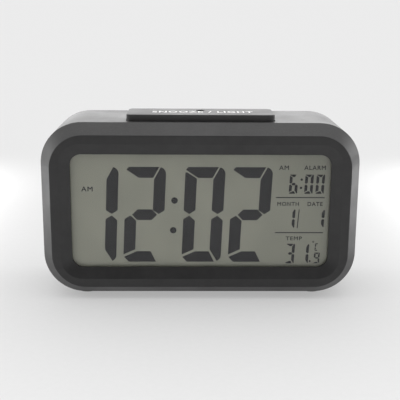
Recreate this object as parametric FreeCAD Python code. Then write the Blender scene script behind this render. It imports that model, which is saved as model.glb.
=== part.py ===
"""Desk alarm clock with a liquid-crystal display, a snooze bar on top and three battery cells.

The clock faces -Y, +X is to the right as seen from the front, and +Z is up. The origin is at the
middle of the footprint, on the surface that the rubber feet stand on. Every piece is modelled with y
measured back from the front rim and z measured up from the casing's underside, and save() then moves
it into the clock's own frame. All sizes are in millimetres.
"""

import FreeCAD, Part
import math
import os

Vector = FreeCAD.Vector
LEFT_RIGHT = (-1, 1)

# ---- how solids are joined and cut ----
sink = 0.5           # how far a rib or post starts inside the wall that it stands on
spill = 1.0          # how far a cutting shape passes the face that it opens
fit_gap = 0.1        # clearance between two fixed pieces that fit together
hair_gap = 0.05      # clearance of a close fit, such as a screw in its hole

# ---- casing ----
casing_width = 136.0
casing_height = 75.2
casing_depth = 46.0
corner_radius = 17.7
wall = 2.0
rear_edge_fillet = 1.5
foot_height = 1.2
foot_thickness = 2.0
foot_radius = 5.0
foot_edge = 0.4
foot_inset_side = 18.0
foot_inset_front = 14.5
foot_inset_rear = 8.0

# ---- front bezel ----
bezel_depth = 7.1
chamfer_inset = 4.5
chamfer_corner_loss = 3.4
rim_width = 3.7
rim_fillet = 0.35
slope_width = 4.6
slope_depth = 2.1
slope_corner_radius = 9.0
window_lip = 1.0
window_corner_radius = 4.9
chamfer_thickening = 0.4
tongue_length = 1.5
tongue_root = 0.8
tongue_wall = 0.95
seam_gap = 0.15

# ---- display stack ----
lens_thickness = 1.2
lens_overlap = 2.0
sheet_corner = 0.5
film_border = 0.3
polarizer_thickness = 0.2
glass_thickness = 1.1
glass_overlap = 1.0
glass_rise = 0.2
contact_ledge = 3.5
reflector_thickness = 0.3
guide_thickness = 3.0
guide_gap = 0.3
frame_wall = 1.1
stack_gap = 0.2
led_length = 3.0
led_height = 2.0
strip_width = 2.0
strip_inset = 6.0
strip_gap = 0.02

# ---- circuit boards and screws ----
board_thickness = 1.6
board_gap = 1.2
board_side_gap = 11.2
board_margin = 2.9
board_corner_radius = 6.0
small_board_corner = 1.0
board_boss_radius = 2.2
board_boss_offset = 45.0
boss_cover = 0.8
board_screw_radius = 0.9
board_screw_length = 6.0
board_screw_head_radius = 2.0
board_screw_head = 1.3
board_hole_gap = 0.3
casing_post_offset = 6.5
casing_post_height = 16.0
casing_post_radius = 4.0
casing_post_gap = 0.9
bezel_post_radius = 3.2
casing_screw_radius = 1.15
casing_screw_head_radius = 2.5
casing_screw_head = 1.8
casing_screw_length = 9.6
screw_hole_spare = 0.8
screw_well_radius = 2.9
screw_floor = 2.0
head_edge = 0.4
cross_width = 0.5
cross_share = 0.55   # the cross recess's reach and depth, as shares of the head's radius and height

# ---- components on the main board ----
resin_radius = 7.0
resin_rise = 1.6
crystal_x = 18.0
crystal_radius = 1.0
crystal_length = 6.0
crystal_lift = 0.2
crystal_pin_radius = 0.15
crystal_pin_spread = 0.4
capacitor_xs = (-22.0, -30.0, 32.0)
capacitor_drop = 3.1   # from the underside of the board above to the middle of a can
capacitor_radius = 2.5
capacitor_length = 5.4
chip_columns = 8
chip_pitch = 4.0
chip_row_drops = (14.0, 20.0)
chip_size = (2.0, 0.6, 1.25)
regulator_size = (5.0, 1.5, 4.0)
regulator_x = -30.0

# ---- snooze bar ----
bar_width = 63.5
bar_depth = 20.0
bar_setback = 10.5
bar_rise = 2.8
bar_corner_radius = 2.8
bar_edge_fillet = 0.45
bar_plate = 1.8
bar_skirt = 1.3
bar_gap = 0.3
bar_flange = 1.0
bar_post_offset = 24.0
bar_post_radius = 1.4
bar_post_tail = 1.5
bar_presser_radius = 2.0
spring_radius = 2.3
spring_wire = 0.22
spring_turns = 8
spring_end_gap = 0.03
coil_steps = 12
wire_sides = 8
top_board_drop = 11.1
top_board_length = 86.0
top_board_depth = 13.0
top_board_boss_offset = 39.0
top_board_boss_radius = 2.6
sensor_hole_radius = 1.9
sensor_setback = 3.5
sensor_radius = 2.1
sensor_thickness = 2.0
sensor_leg_length = 5.0
sensor_leg_radius = 0.25
sensor_leg_spread = 1.2
sensor_window_thickness = 1.0
sensor_window_recess = 0.3
sensor_window_gap = 0.02
header_x = 8.0
header_pitch = 2.54
header_pin = 0.64
header_pins = 4

# ---- push switches ----
switch_side = 6.0
switch_body = 3.5
switch_plunger_radius = 1.7
switch_plunger_rise = 1.0
switch_plunger_depth = 0.8
switch_bore_depth = 2.2
snooze_switch_x = -12.0

# ---- rear panel: keys and slide switches ----
panel_width = 98.0
panel_height = 16.0
panel_corner_radius = 4.0
panel_recess = 1.4
panel_border = 2.0
key_names = ("mode", "set", "up", "down", "alarm")
key_radius = 4.0
key_gap = 0.2
key_pitch = 13.0
key_drop = 2.0
key_rise = 1.0
key_edge = 0.5
key_flange = 1.0
key_flange_thickness = 1.0
key_stem_radius = 1.6
key_stem_length = 0.55
key_board_width = 96.0
key_board_height = 14.0
key_board_boss_offset = 33.5
slide_offset = 41.0
slide_travel = 2.5
slide_knob_width = 3.6
slide_knob_height = 2.6
slide_knob_edge = 0.4
slide_stem_inset = 0.7
slide_case_width = 9.0
slide_case_height = 4.4
slide_case_depth = 3.4
slide_case_wall = 0.5
slide_floor = 1.0
slide_gap = 0.2
slide_groove_pitch = 0.9
slide_groove_width = 0.4
slide_groove_depth = 0.3

# ---- battery bay and door ----
cell_length = 44.5
cell_radius = 5.25
cell_edge = 0.5
cell_nub_radius = 1.9
cell_nub = 0.9
cell_gap = 0.4
cell_rear_gap = 0.8
contact_thickness = 0.4
contact_width = 8.6
contact_gap = 0.1
contact_tail_width = 3.0
contact_tail_length = 1.5
contact_tail_gap = 0.2
contact_spring_length = 5.3
contact_spring_radius = 3.6
contact_spring_tip = 2.2
contact_spring_wire = 0.35
contact_spring_turns = 3.5
bay_wall = 1.5
bay_gap = 0.25
bay_sill = 8.1
door_ledge = 0.9
door_rise = 1.1
door_thickness = 1.8
door_gap = 0.2
door_set_back = 0.05
door_edge = 0.3
door_corner_radius = 0.6
door_swing_clearance = 0.1
tab_offset = 16.0
tab_width = 6.0
tab_gap = 0.3
tab_thickness = 1.3
tab_reach = 1.8
tab_height = 4.6
tab_slot_depth = 2.8
latch_width = 12.0
latch_length = 8.0
latch_slit = 0.7
latch_ridges = 3
latch_ridge_pitch = 1.6
latch_groove = 0.8
latch_groove_depth = 0.4
latch_groove_inset = 1.2
notch_height = 3.2
notch_depth = 1.0

# ---- sounder, temperature sensor and leads ----
sounder_radius = 13.5
sounder_thickness = 0.3
sounder_lift = 1.5
sounder_seat = 1.2
sounder_ring_wall = 1.4
sounder_ring_rise = 2.4
ceramic_radius = 10.0
ceramic_thickness = 0.25
grille_hole_radius = 0.8
grille_pitch = 3.2
grille_rings = 2
vent_slot_width = 12.0
vent_slot_height = 1.6
vent_slot_pitch = 3.4
vent_slots = 5
bead_radius = 1.3
bead_setback = 4.0
lead_radius = 0.6
thin_lead_radius = 0.48
lead_bend_share = 0.45
ribbon_width = 10.0
ribbon_thickness = 0.6

# ---- sizes that follow: casing and display ----
mid_height = casing_height / 2
ceiling = casing_height - wall
rear_inner = casing_depth - wall
window_inset = chamfer_inset + rim_width + slope_width
window_width = casing_width - 2 * window_inset
window_height = casing_height - 2 * window_inset
lens_near = slope_depth + window_lip
lens_far = lens_near + lens_thickness
polarizer_near = lens_far + stack_gap
front_glass_near = polarizer_near + polarizer_thickness
rear_glass_near = front_glass_near + glass_thickness
reflector_near = rear_glass_near + glass_thickness
reflector_far = reflector_near + reflector_thickness
guide_near = reflector_far + stack_gap
guide_far = guide_near + guide_thickness
glass_width = window_width + 2 * glass_overlap
glass_top = mid_height + window_height / 2 + glass_overlap + glass_rise
glass_sill = mid_height - window_height / 2 - glass_overlap
ledge_sill = glass_sill - contact_ledge

# ---- sizes that follow: boards, posts and snooze bar ----
board_near = guide_far + board_gap
board_far = board_near + board_thickness
board_boss_low = ledge_sill - frame_wall - board_boss_radius - fit_gap
board_boss_high = glass_top + frame_wall + board_boss_radius + 2 * fit_gap
board_boss_heights = (board_boss_low, board_boss_high)
board_bosses = [(side * board_boss_offset, z) for side in LEFT_RIGHT for z in board_boss_heights]
board_width = casing_width - 2 * board_side_gap
board_top = board_boss_high + board_boss_radius + fit_gap
post_x = casing_width / 2 - casing_post_offset
post_heights = (casing_post_height, casing_height - casing_post_height)
posts = [(side * post_x, z) for side in LEFT_RIGHT for z in post_heights]
post_near = board_far + casing_post_gap
well_floor = post_near + screw_floor
bezel_post_far = post_near - fit_gap
bar_middle = bar_setback + bar_depth / 2
bar_top = casing_height + bar_rise
bar_ceiling = bar_top - bar_plate
bar_foot = ceiling - hair_gap - bar_flange
top_board_low = ceiling - top_board_drop
top_board_high = top_board_low + board_thickness
sensor_y = bar_middle + sensor_setback

# ---- sizes that follow: battery bay, door and rear panel ----
cell_pitch = 2 * cell_radius + cell_gap
bay_inner_width = cell_length + contact_spring_length + 2 * (contact_thickness + contact_gap + bay_gap)
bay_outer_width = bay_inner_width + 2 * bay_wall
bay_inner_height = 3 * cell_pitch + 2 * bay_gap
bay_floor = bay_sill + bay_wall
bay_middle = bay_floor + bay_inner_height / 2
bay_top = bay_floor + bay_inner_height + bay_wall
cell_y = rear_inner - cell_rear_gap - cell_radius
bay_front = cell_y - cell_radius - fit_gap
cell_heights = [bay_middle + step * cell_pitch for step in (1, 0, -1)]
contact_tails = ((-1, cell_heights[0]), (1, cell_heights[2]))
tail_front = bay_front - bay_wall - contact_tail_length
door_far = casing_depth - door_set_back
door_near = door_far - door_thickness
door_width = bay_inner_width + 2 * door_ledge
door_height = bay_inner_height + 2 * (door_rise - door_gap)
door_sill = bay_middle - door_height / 2
door_top = door_sill + door_height
hinge_y = casing_depth
hinge_z = door_sill - door_swing_clearance
tab_far = rear_inner - tab_gap
panel_middle = (bay_top + casing_height - rear_edge_fillet) / 2
panel_floor = casing_depth - panel_recess
panel_inner = panel_floor - wall
key_height = panel_middle - key_drop
key_top = panel_floor + key_rise
key_xs = [(place - (len(key_names) - 1) / 2) * key_pitch for place in range(len(key_names))]
key_flange_far = panel_inner - hair_gap
key_flange_near = key_flange_far - key_flange_thickness
key_stem_near = key_flange_near - key_stem_length
key_board_far = key_stem_near - switch_plunger_rise - switch_body
key_board_near = key_board_far - board_thickness
slide_case_far = key_board_far + slide_case_depth
sounder_x = (bay_outer_width / 2 + post_x - casing_post_radius) / 2
sounder_z = bay_middle + sounder_lift
sounder_far = rear_inner - sounder_ring_rise
sounder_near = sounder_far - sounder_thickness


# ---- building blocks ----
def rectangle(size, y, x=0.0, z=mid_height):
    """A closed rounded rectangle that faces the viewer. size is (width, height, corner radius)."""
    width, height, radius = size
    edges = []
    first = last = None
    for number, (side_x, side_z) in enumerate(((1, -1), (1, 1), (-1, 1), (-1, -1))):
        centre = Vector(x + side_x * (width / 2 - radius), y, z + side_z * (height / 2 - radius))
        points = []
        for eighth in (-2, -1, 0):
            angle = math.pi / 4 * (2 * number + eighth)
            points.append(centre + Vector(radius * math.cos(angle), 0, radius * math.sin(angle)))
        if last:
            edges.append(Part.LineSegment(last, points[0]).toShape())
        edges.append(Part.Arc(*points).toShape())
        first = first or points[0]
        last = points[2]
    edges.append(Part.LineSegment(last, first).toShape())
    return Part.Wire(edges)


def inset_size(width, height, radius, inset):
    """The size of a rounded rectangle after its outline moves inwards."""
    return width - 2 * inset, height - 2 * inset, radius - inset


def casing_size(inset):
    return inset_size(casing_width, casing_height, corner_radius, inset)


def slab(size, near, far, x=0.0, z=mid_height):
    """A rounded plate that faces the viewer, from depth near to depth far."""
    return Part.Face(rectangle(size, near, x, z)).extrude(Vector(0, far - near, 0))


def taper(near_size, far_size, near, far):
    """A rounded block that changes from one outline to another."""
    return Part.makeLoft([rectangle(near_size, near), rectangle(far_size, far)], True, True)


def block(x, y, z):
    """A plain box between the low and high value given for each direction."""
    return Part.makeBox(x[1] - x[0], y[1] - y[0], z[1] - z[0], Vector(x[0], y[0], z[0]))


def around(middle, width):
    """The low and high value of a span about its middle."""
    return middle - width / 2, middle + width / 2


def rod_back(x, z, radius, near, far):
    """A round rod that runs from depth near to depth far."""
    return Part.makeCylinder(radius, far - near, Vector(x, near, z), Vector(0, 1, 0))


def rod_up(x, y, radius, low, high):
    """A round rod that runs upwards."""
    return Part.makeCylinder(radius, high - low, Vector(x, y, low), Vector(0, 0, 1))


def rod_right(y, z, radius, left, right):
    """A round rod that runs to the right."""
    return Part.makeCylinder(radius, right - left, Vector(left, y, z), Vector(1, 0, 0))


def flat_plate(size, low, high):
    """A plate that lies flat under the snooze bar's middle, with rounded corners in plan."""
    plate = slab(size, 0, high - low, 0, 0)
    plate.rotate(Vector(0, 0, 0), Vector(1, 0, 0), 90)
    plate.translate(Vector(0, bar_middle, low))
    return plate


def fuse(shapes):
    whole = shapes[0]
    if len(shapes) > 1:
        whole = whole.fuse(shapes[1:])
    return whole.removeSplitter()


def cut(shape, tools):
    return shape.cut(tools).removeSplitter()


def round_edges(shape, radius, axis, value):
    """Rounds every edge that lies on the plane where that coordinate, y or z, has that value."""
    picked = []
    for edge in shape.Edges:
        box = edge.BoundBox
        low, high = {"y": (box.YMin, box.YMax), "z": (box.ZMin, box.ZMax)}[axis]
        if max(abs(low - value), abs(high - value)) < hair_gap / 100:
            picked.append(edge)
    return shape.makeFillet(radius, picked)


def bent_path(points):
    """Straight runs joined by tangent arcs, each as large as its two runs allow."""
    edges = []
    last = points[0]
    for before, corner, after in zip(points, points[1:], points[2:]):
        back, ahead = before - corner, after - corner
        reach = lead_bend_share * min(back.Length, ahead.Length)
        back.normalize()
        ahead.normalize()
        half_angle = back.getAngle(ahead) / 2
        inward = (back + ahead).normalize()
        bend = reach * math.tan(half_angle)
        start, end = corner + back * reach, corner + ahead * reach
        middle = corner + inward * (reach / math.cos(half_angle) - bend)
        edges.append(Part.LineSegment(last, start).toShape())
        edges.append(Part.Arc(start, middle, end).toShape())
        last = end
    edges.append(Part.LineSegment(last, points[-1]).toShape())
    return Part.Wire(edges)


def lead(points, radius):
    """A round wire along a bent path."""
    section = Part.Wire(Part.makeCircle(radius, points[0], points[1] - points[0]))
    return bent_path(points).makePipeShell([section], True, False)


def coil(start_radius, end_radius, rise, turns, wire):
    """A spring of eight-sided wire that winds up from z = 0 round the z axis."""
    steps = int(turns * coil_steps)
    points = []
    for step in range(steps + 1):
        share = step / steps
        reach = start_radius + (end_radius - start_radius) * share
        angle = 2 * math.pi * turns * share
        points.append(Vector(reach * math.cos(angle), reach * math.sin(angle), rise * share))
    curve = Part.BSplineCurve()
    curve.interpolate(points)
    heading = curve.tangent(curve.FirstParameter)[0].normalize()
    side = Vector(1, 0, 0).cross(heading).normalize()
    lift = heading.cross(side)
    section = []
    for corner in range(wire_sides + 1):
        angle = 2 * math.pi * corner / wire_sides
        section.append(points[0] + side * (wire * math.cos(angle)) + lift * (wire * math.sin(angle)))
    return Part.Wire(curve.toShape()).makePipeShell([Part.makePolygon(section)], True, True)


def save(name, shape):
    """Moves a piece into the clock's frame and writes it."""
    placed = shape.copy()
    placed.translate(Vector(0, -casing_depth / 2, foot_height))
    solids = placed.Solids
    if not solids or not placed.isValid():
        raise ValueError(f"{name} has {len(solids)} solids, valid: {placed.isValid()}")
    whole = solids[0] if len(solids) == 1 else Part.makeCompound(solids)
    whole.exportStep(os.path.join("parts", name + ".step"))
    print(f"{name}: {len(solids)} solid(s), {whole.Volume:.1f} mm3")


# ---- casing ----
def front_bezel():
    """The chamfered front half, with its window, its tongue and its eight inner posts."""
    rim_size = (casing_width - 2 * chamfer_inset, casing_height - 2 * chamfer_inset,
                corner_radius - chamfer_corner_loss)
    slope_inset = chamfer_inset + rim_width
    slope_size = (casing_width - 2 * slope_inset, casing_height - 2 * slope_inset, slope_corner_radius)
    window_size = (window_width, window_height, window_corner_radius)
    room_near = casing_size(wall + chamfer_inset * (1 - lens_near / bezel_depth) + chamfer_thickening)
    room_far = casing_size(wall)
    room = taper(room_near, room_far, lens_near, bezel_depth)
    body = round_edges(taper(rim_size, casing_size(0), 0, bezel_depth), rim_fillet, "y", 0)
    body = cut(body, [taper(slope_size, window_size, 0, slope_depth),
                      slab(window_size, slope_depth - sink / 10, lens_near + sink / 10), room])
    tongue_far = bezel_depth + tongue_length
    tongue = slab(casing_size(wall - tongue_wall), bezel_depth - tongue_root, tongue_far)
    tongue = tongue.cut([slab(room_far, bezel_depth - spill, tongue_far + spill), room])
    # the posts stop short of the chamfer's outer face
    uncovered = slab(casing_size(-spill), 0, bezel_depth).cut(
        taper(inset_size(*rim_size, boss_cover), casing_size(boss_cover), 0, bezel_depth))
    pieces = [body, tongue]
    holes = []
    for x, z in posts:
        pieces.append(cut(rod_back(x, z, bezel_post_radius, lens_near - sink, bezel_post_far), [uncovered]))
        holes.append(rod_back(x, z, casing_screw_radius + hair_gap,
                              well_floor - casing_screw_length - screw_hole_spare, bezel_post_far + spill))
    for x, z in board_bosses:
        pieces.append(cut(rod_back(x, z, board_boss_radius, lens_near - sink, board_near), [uncovered]))
        holes.append(rod_back(x, z, board_screw_radius + hair_gap,
                              board_far - board_screw_length - screw_hole_spare, board_near + spill))
    return cut(fuse(pieces), holes)


def rear_housing():
    """The deep rear half, with its posts, its battery bay and the ring that holds the sounder."""
    near = bezel_depth + seam_gap
    shell = round_edges(slab(casing_size(0), near, casing_depth), rear_edge_fillet, "y", casing_depth)
    rebate_far = bezel_depth + tongue_length + fit_gap
    shell = cut(shell, [slab(casing_size(wall), near - spill, rear_inner),
                        slab(casing_size(wall - tongue_wall - fit_gap), near - spill, rebate_far)])
    backing = (panel_width + 2 * panel_border, panel_height + 2 * panel_border, panel_corner_radius)
    additions = [slab(backing, panel_inner, rear_inner + sink, 0, panel_middle),
                 block(around(0, bay_outer_width), (bay_front - bay_wall, rear_inner + sink),
                       (bay_sill, bay_top)),
                 sounder_ring()]
    for x, z in posts:
        additions.append(rod_back(x, z, casing_post_radius, post_near, rear_inner + sink))
    for side in LEFT_RIGHT:
        additions.append(rod_up(side * top_board_boss_offset, bar_middle, top_board_boss_radius,
                                top_board_high, ceiling + sink))
        additions.append(rod_back(side * key_board_boss_offset, panel_middle, board_boss_radius,
                                  key_board_far, panel_inner + sink))
    bar_opening = flat_plate(inset_size(bar_width, bar_depth, bar_corner_radius, -bar_gap),
                             ceiling - spill, casing_height + spill)
    inside = slab(casing_size(wall / 2), near, casing_depth - wall / 2)
    additions = [piece.common(inside) for piece in additions]
    tools = [bar_opening] + foot_pockets() + screw_holes() + panel_holes() + bay_holes() + grille_and_vents()
    return cut(fuse([shell] + additions), tools)


def sounder_ring():
    """A short collar with a seat inside, on which the brass disc rests."""
    ring = rod_back(sounder_x, sounder_z, sounder_radius + sounder_ring_wall, sounder_near, rear_inner + sink)
    seat = rod_back(sounder_x, sounder_z, sounder_radius + fit_gap, sounder_near - spill, sounder_far)
    throat = rod_back(sounder_x, sounder_z, sounder_radius - sounder_seat, sounder_far - spill, rear_inner)
    return ring.cut([seat, throat])


def screw_holes():
    """The four wells from the back, and the blind holes for the screws of the two small boards."""
    holes = []
    for x, z in posts:
        holes.append(rod_back(x, z, screw_well_radius, well_floor, casing_depth + spill))
        holes.append(rod_back(x, z, casing_screw_radius + board_hole_gap, post_near - spill,
                              well_floor + spill))
    for side in LEFT_RIGHT:
        holes.append(rod_back(side * key_board_boss_offset, panel_middle, board_screw_radius + hair_gap,
                              key_board_far - spill, key_board_near + board_screw_length + screw_hole_spare))
        holes.append(rod_up(side * top_board_boss_offset, bar_middle, board_screw_radius + hair_gap,
                            top_board_high - spill, top_board_low + board_screw_length + screw_hole_spare))
    return holes


def panel_holes():
    """The shallow recess that the keys stand in, with a round hole for each key and two short slots."""
    holes = [slab((panel_width, panel_height, panel_corner_radius), panel_floor, casing_depth + spill,
                  0, panel_middle)]
    for x in key_xs:
        holes.append(rod_back(x, key_height, key_radius + key_gap, panel_inner - spill, casing_depth))
    slot = (slide_knob_width + slide_travel + 2 * key_gap, slide_knob_height + 2 * key_gap, slide_knob_edge)
    for side in LEFT_RIGHT:
        holes.append(slab(slot, panel_inner - spill, casing_depth, side * slide_offset, key_height))
    return holes


def bay_holes():
    """The battery bay, the recess for its door, the slots for the tabs and tails, and the finger notch."""
    holes = [block(around(0, bay_inner_width), (bay_front, casing_depth),
                   around(bay_middle, bay_inner_height)),
             slab((door_width + 2 * door_gap, door_height + 2 * door_gap, door_corner_radius + door_gap),
                  door_near - door_set_back, casing_depth + spill, 0, bay_middle),
             slab((latch_width, 2 * notch_height, notch_height - door_gap), casing_depth - notch_depth,
                  casing_depth + spill, 0, door_top)]
    for side in LEFT_RIGHT:
        holes.append(block(around(side * tab_offset, tab_width + 2 * tab_gap),
                           (rear_inner - tab_slot_depth, door_near),
                           (bay_sill - spill, door_sill - tab_reach - tab_gap + tab_height)))
    for side, z in contact_tails:
        left, right = contact_span(side)
        holes.append(block((left - contact_tail_gap, right + contact_tail_gap),
                           (bay_front - bay_wall - spill, bay_front + sink),
                           around(z, contact_tail_width + 2 * contact_tail_gap)))
    return holes


def grille_and_vents():
    """Rings of round holes over the sounder, and slots over the temperature sensor."""
    holes = [rod_back(sounder_x, sounder_z, grille_hole_radius, rear_inner - spill, casing_depth + spill)]
    for ring in range(1, grille_rings + 1):
        for number in range(6 * ring):
            angle = 2 * math.pi * number / (6 * ring)
            x = sounder_x + ring * grille_pitch * math.cos(angle)
            z = sounder_z + ring * grille_pitch * math.sin(angle)
            holes.append(rod_back(x, z, grille_hole_radius, rear_inner - spill, casing_depth + spill))
    slot = (vent_slot_width, vent_slot_height, vent_slot_height / 2 - hair_gap)
    for number in range(vent_slots):
        z = sounder_z + (number - (vent_slots - 1) / 2) * vent_slot_pitch
        holes.append(slab(slot, rear_inner - spill, casing_depth + spill, -sounder_x, z))
    return holes


def foot_places():
    ys = (foot_inset_front, casing_depth - foot_inset_rear)
    return [(side * (casing_width / 2 - foot_inset_side), y) for side in LEFT_RIGHT for y in ys]


def foot_pockets():
    top = foot_thickness - foot_height
    return [rod_up(x, y, foot_radius + fit_gap, -spill, top) for x, y in foot_places()]


def rubber_feet():
    feet = []
    for x, y in foot_places():
        foot = rod_up(x, y, foot_radius, -foot_height, foot_thickness - foot_height)
        feet.append(round_edges(foot, foot_edge, "z", -foot_height))
    return Part.makeCompound(feet)


def screw(radius, length, head_radius, head):
    """A cross-head screw whose head stands on y = 0 and whose shank points towards the viewer."""
    cap = round_edges(rod_back(0, 0, head_radius, 0, head), head_edge, "y", head)
    shank = rod_back(0, 0, radius, -length, 0)
    reach = 2 * cross_share * head_radius
    depth = (head - cross_share * head, head + spill)
    return cut(fuse([cap, shank]), [block(around(0, reach), depth, around(0, cross_width)),
                                    block(around(0, cross_width), depth, around(0, reach))])


def screws_at(places, y, radius, length, head_radius, head):
    """The same screw at each (x, z)."""
    screws = []
    for x, z in places:
        piece = screw(radius, length, head_radius, head)
        piece.translate(Vector(x, y, z))
        screws.append(piece)
    return Part.makeCompound(screws)


def housing_screws():
    return screws_at(posts, well_floor, casing_screw_radius, casing_screw_length,
                     casing_screw_head_radius, casing_screw_head)


def board_screw():
    return screw(board_screw_radius, board_screw_length, board_screw_head_radius, board_screw_head)


# ---- display ----
def display_sheet(width, low, high, near, far):
    return slab((width, high - low, sheet_corner), near, far, 0, (low + high) / 2)


def display_film(near, far):
    return display_sheet(glass_width - 2 * film_border, glass_sill + film_border, glass_top - film_border,
                         near, far)


def display_lens():
    return slab((window_width + 2 * lens_overlap, window_height + 2 * lens_overlap, window_corner_radius),
                lens_near, lens_far)


def lcd_frame():
    """The box-shaped collar that holds the display's sheets between the lens and the main board."""
    low, high = ledge_sill - fit_gap, glass_top + fit_gap
    width = glass_width + 2 * fit_gap
    near, far = lens_far + hair_gap, board_near - fit_gap
    outer = display_sheet(width + 2 * frame_wall, low - frame_wall, high + frame_wall, near, far)
    return cut(outer, [display_sheet(width, low, high, near - spill, far + spill)])


def light_guide():
    return display_sheet(window_width - 2 * guide_gap, glass_sill + guide_gap, glass_top - guide_gap,
                         guide_near, guide_far)


def backlight_leds():
    """Two lamps that shine into the guide's ends."""
    leds = []
    inner, outer = window_width / 2 - guide_gap + hair_gap, glass_width / 2
    depth = around((guide_near + guide_far) / 2, led_height)
    for side in LEFT_RIGHT:
        leds.append(block(sorted((side * inner, side * outer)), depth, around(mid_height, led_length)))
    return Part.makeCompound(leds)


def zebra_strip():
    """The rubber strip that carries the board's signals to the ledge of the front glass."""
    depth = (rear_glass_near + strip_gap, board_near - strip_gap)
    return block(around(0, glass_width - 2 * strip_inset), depth,
                 around(ledge_sill + contact_ledge / 2, strip_width))


# ---- main board ----
def main_board():
    height = board_top - board_margin
    board = slab((board_width, height, board_corner_radius), board_near, board_far, 0,
                 board_margin + height / 2)
    return cut(board, [rod_back(x, z, board_screw_radius + board_hole_gap, board_near - spill,
                                board_far + spill) for x, z in board_bosses])


def board_screws():
    return screws_at(board_bosses, board_far, board_screw_radius, board_screw_length,
                     board_screw_head_radius, board_screw_head)


def controller_cap():
    """The dome of black resin over the clock's chip."""
    ball = (resin_radius ** 2 + resin_rise ** 2) / (2 * resin_rise)
    top = board_far + resin_rise
    dome = Part.makeSphere(ball, Vector(0, top - ball, mid_height))
    return dome.common(rod_back(0, mid_height, resin_radius + spill, board_far, top + spill))


def clock_crystal():
    """A small can that lies along the board, with two pins at its lower end."""
    y = board_far + crystal_lift + crystal_radius
    low, high = around(mid_height, crystal_length)
    pieces = [rod_up(crystal_x, y, crystal_radius, low, high)]
    for side in LEFT_RIGHT:
        pieces.append(rod_up(crystal_x + side * crystal_pin_spread, y, crystal_pin_radius,
                             low - crystal_length / 3, low + crystal_pin_radius))
    return fuse(pieces)


def board_capacitors():
    cans = []
    for x in capacitor_xs:
        far = board_far + capacitor_length
        can = rod_back(x, top_board_low - capacitor_drop, capacitor_radius, board_far, far)
        cans.append(round_edges(can, head_edge, "y", far))
    return Part.makeCompound(cans)


def board_chips():
    """Two rows of surface-mounted chips and one regulator."""
    chips = []
    width, rise, height = chip_size
    for number in range(chip_columns):
        x = (number - (chip_columns - 1) / 2) * chip_pitch
        for drop in chip_row_drops:
            chips.append(block(around(x, width), (board_far, board_far + rise),
                               around(mid_height - drop, height)))
    width, rise, height = regulator_size
    chips.append(block(around(regulator_x, width), (board_far, board_far + rise),
                       around(mid_height - chip_row_drops[0], height)))
    return Part.makeCompound(chips)


# ---- snooze bar and the board under it ----
def snooze_bar():
    """The long key on top, with a flange inside the casing, two guide posts and a presser."""
    size = (bar_width, bar_depth, bar_corner_radius)
    plate = round_edges(flat_plate(size, bar_foot, bar_top), bar_edge_fillet, "z", bar_top)
    flange = flat_plate(inset_size(*size, -bar_gap - bar_flange), bar_foot, bar_foot + bar_flange)
    hollow = flat_plate(inset_size(*size, bar_skirt), bar_foot - spill, bar_ceiling)
    body = cut(fuse([plate, flange]), [hollow])
    presser_foot = top_board_high + switch_body + switch_plunger_rise
    pieces = [body, rod_up(snooze_switch_x, bar_middle, bar_presser_radius, presser_foot, bar_ceiling + sink)]
    for side in LEFT_RIGHT:
        pieces.append(rod_up(side * bar_post_offset, bar_middle, bar_post_radius,
                             top_board_low - bar_post_tail, bar_ceiling + sink))
    return cut(fuse(pieces), [rod_up(0, sensor_y, sensor_hole_radius, bar_ceiling - spill, bar_top + spill)])


def sensor_window():
    top = bar_top - sensor_window_recess
    return rod_up(0, sensor_y, sensor_hole_radius - sensor_window_gap, top - sensor_window_thickness, top)


def snooze_springs():
    springs = []
    foot = top_board_high + spring_wire + spring_end_gap
    rise = bar_ceiling - spring_wire - spring_end_gap - foot
    for side in LEFT_RIGHT:
        spring = coil(spring_radius, spring_radius, rise, spring_turns, spring_wire)
        spring.translate(Vector(side * bar_post_offset, bar_middle, foot))
        springs.append(spring)
    return Part.makeCompound(springs)


def top_board():
    board = flat_plate((top_board_length, top_board_depth, small_board_corner), top_board_low, top_board_high)
    holes = []
    for side in LEFT_RIGHT:
        for x, radius in ((top_board_boss_offset, board_screw_radius), (bar_post_offset, bar_post_radius)):
            holes.append(rod_up(side * x, bar_middle, radius + board_hole_gap, top_board_low - spill,
                                top_board_high + spill))
    return cut(board, holes)


def top_board_screws():
    screws = []
    for side in LEFT_RIGHT:
        piece = board_screw()
        piece.rotate(Vector(0, 0, 0), Vector(1, 0, 0), -90)
        piece.translate(Vector(side * top_board_boss_offset, bar_middle, top_board_low))
        screws.append(piece)
    return Part.makeCompound(screws)


def push_switch_case():
    """A square push switch that stands on z = 0, with its plunger's bore open at the top."""
    body = block(around(0, switch_side), around(0, switch_side), (0, switch_body))
    return cut(body, [rod_up(0, 0, switch_plunger_radius + fit_gap, switch_body - switch_bore_depth,
                             switch_body + spill)])


def push_switch_plunger():
    return rod_up(0, 0, switch_plunger_radius, switch_body - switch_plunger_depth,
                  switch_body + switch_plunger_rise)


def on_top_board(shape):
    placed = shape.copy()
    placed.translate(Vector(snooze_switch_x, bar_middle, top_board_high))
    return placed


def light_sensor():
    """A photocell on two straight legs, right under the hole in the bar."""
    low = top_board_high + sensor_leg_length
    pieces = [rod_up(0, sensor_y, sensor_radius, low, low + sensor_thickness)]
    for side in LEFT_RIGHT:
        pieces.append(rod_up(side * sensor_leg_spread, sensor_y, sensor_leg_radius, top_board_high,
                             low + sink))
    return fuse(pieces)


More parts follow.
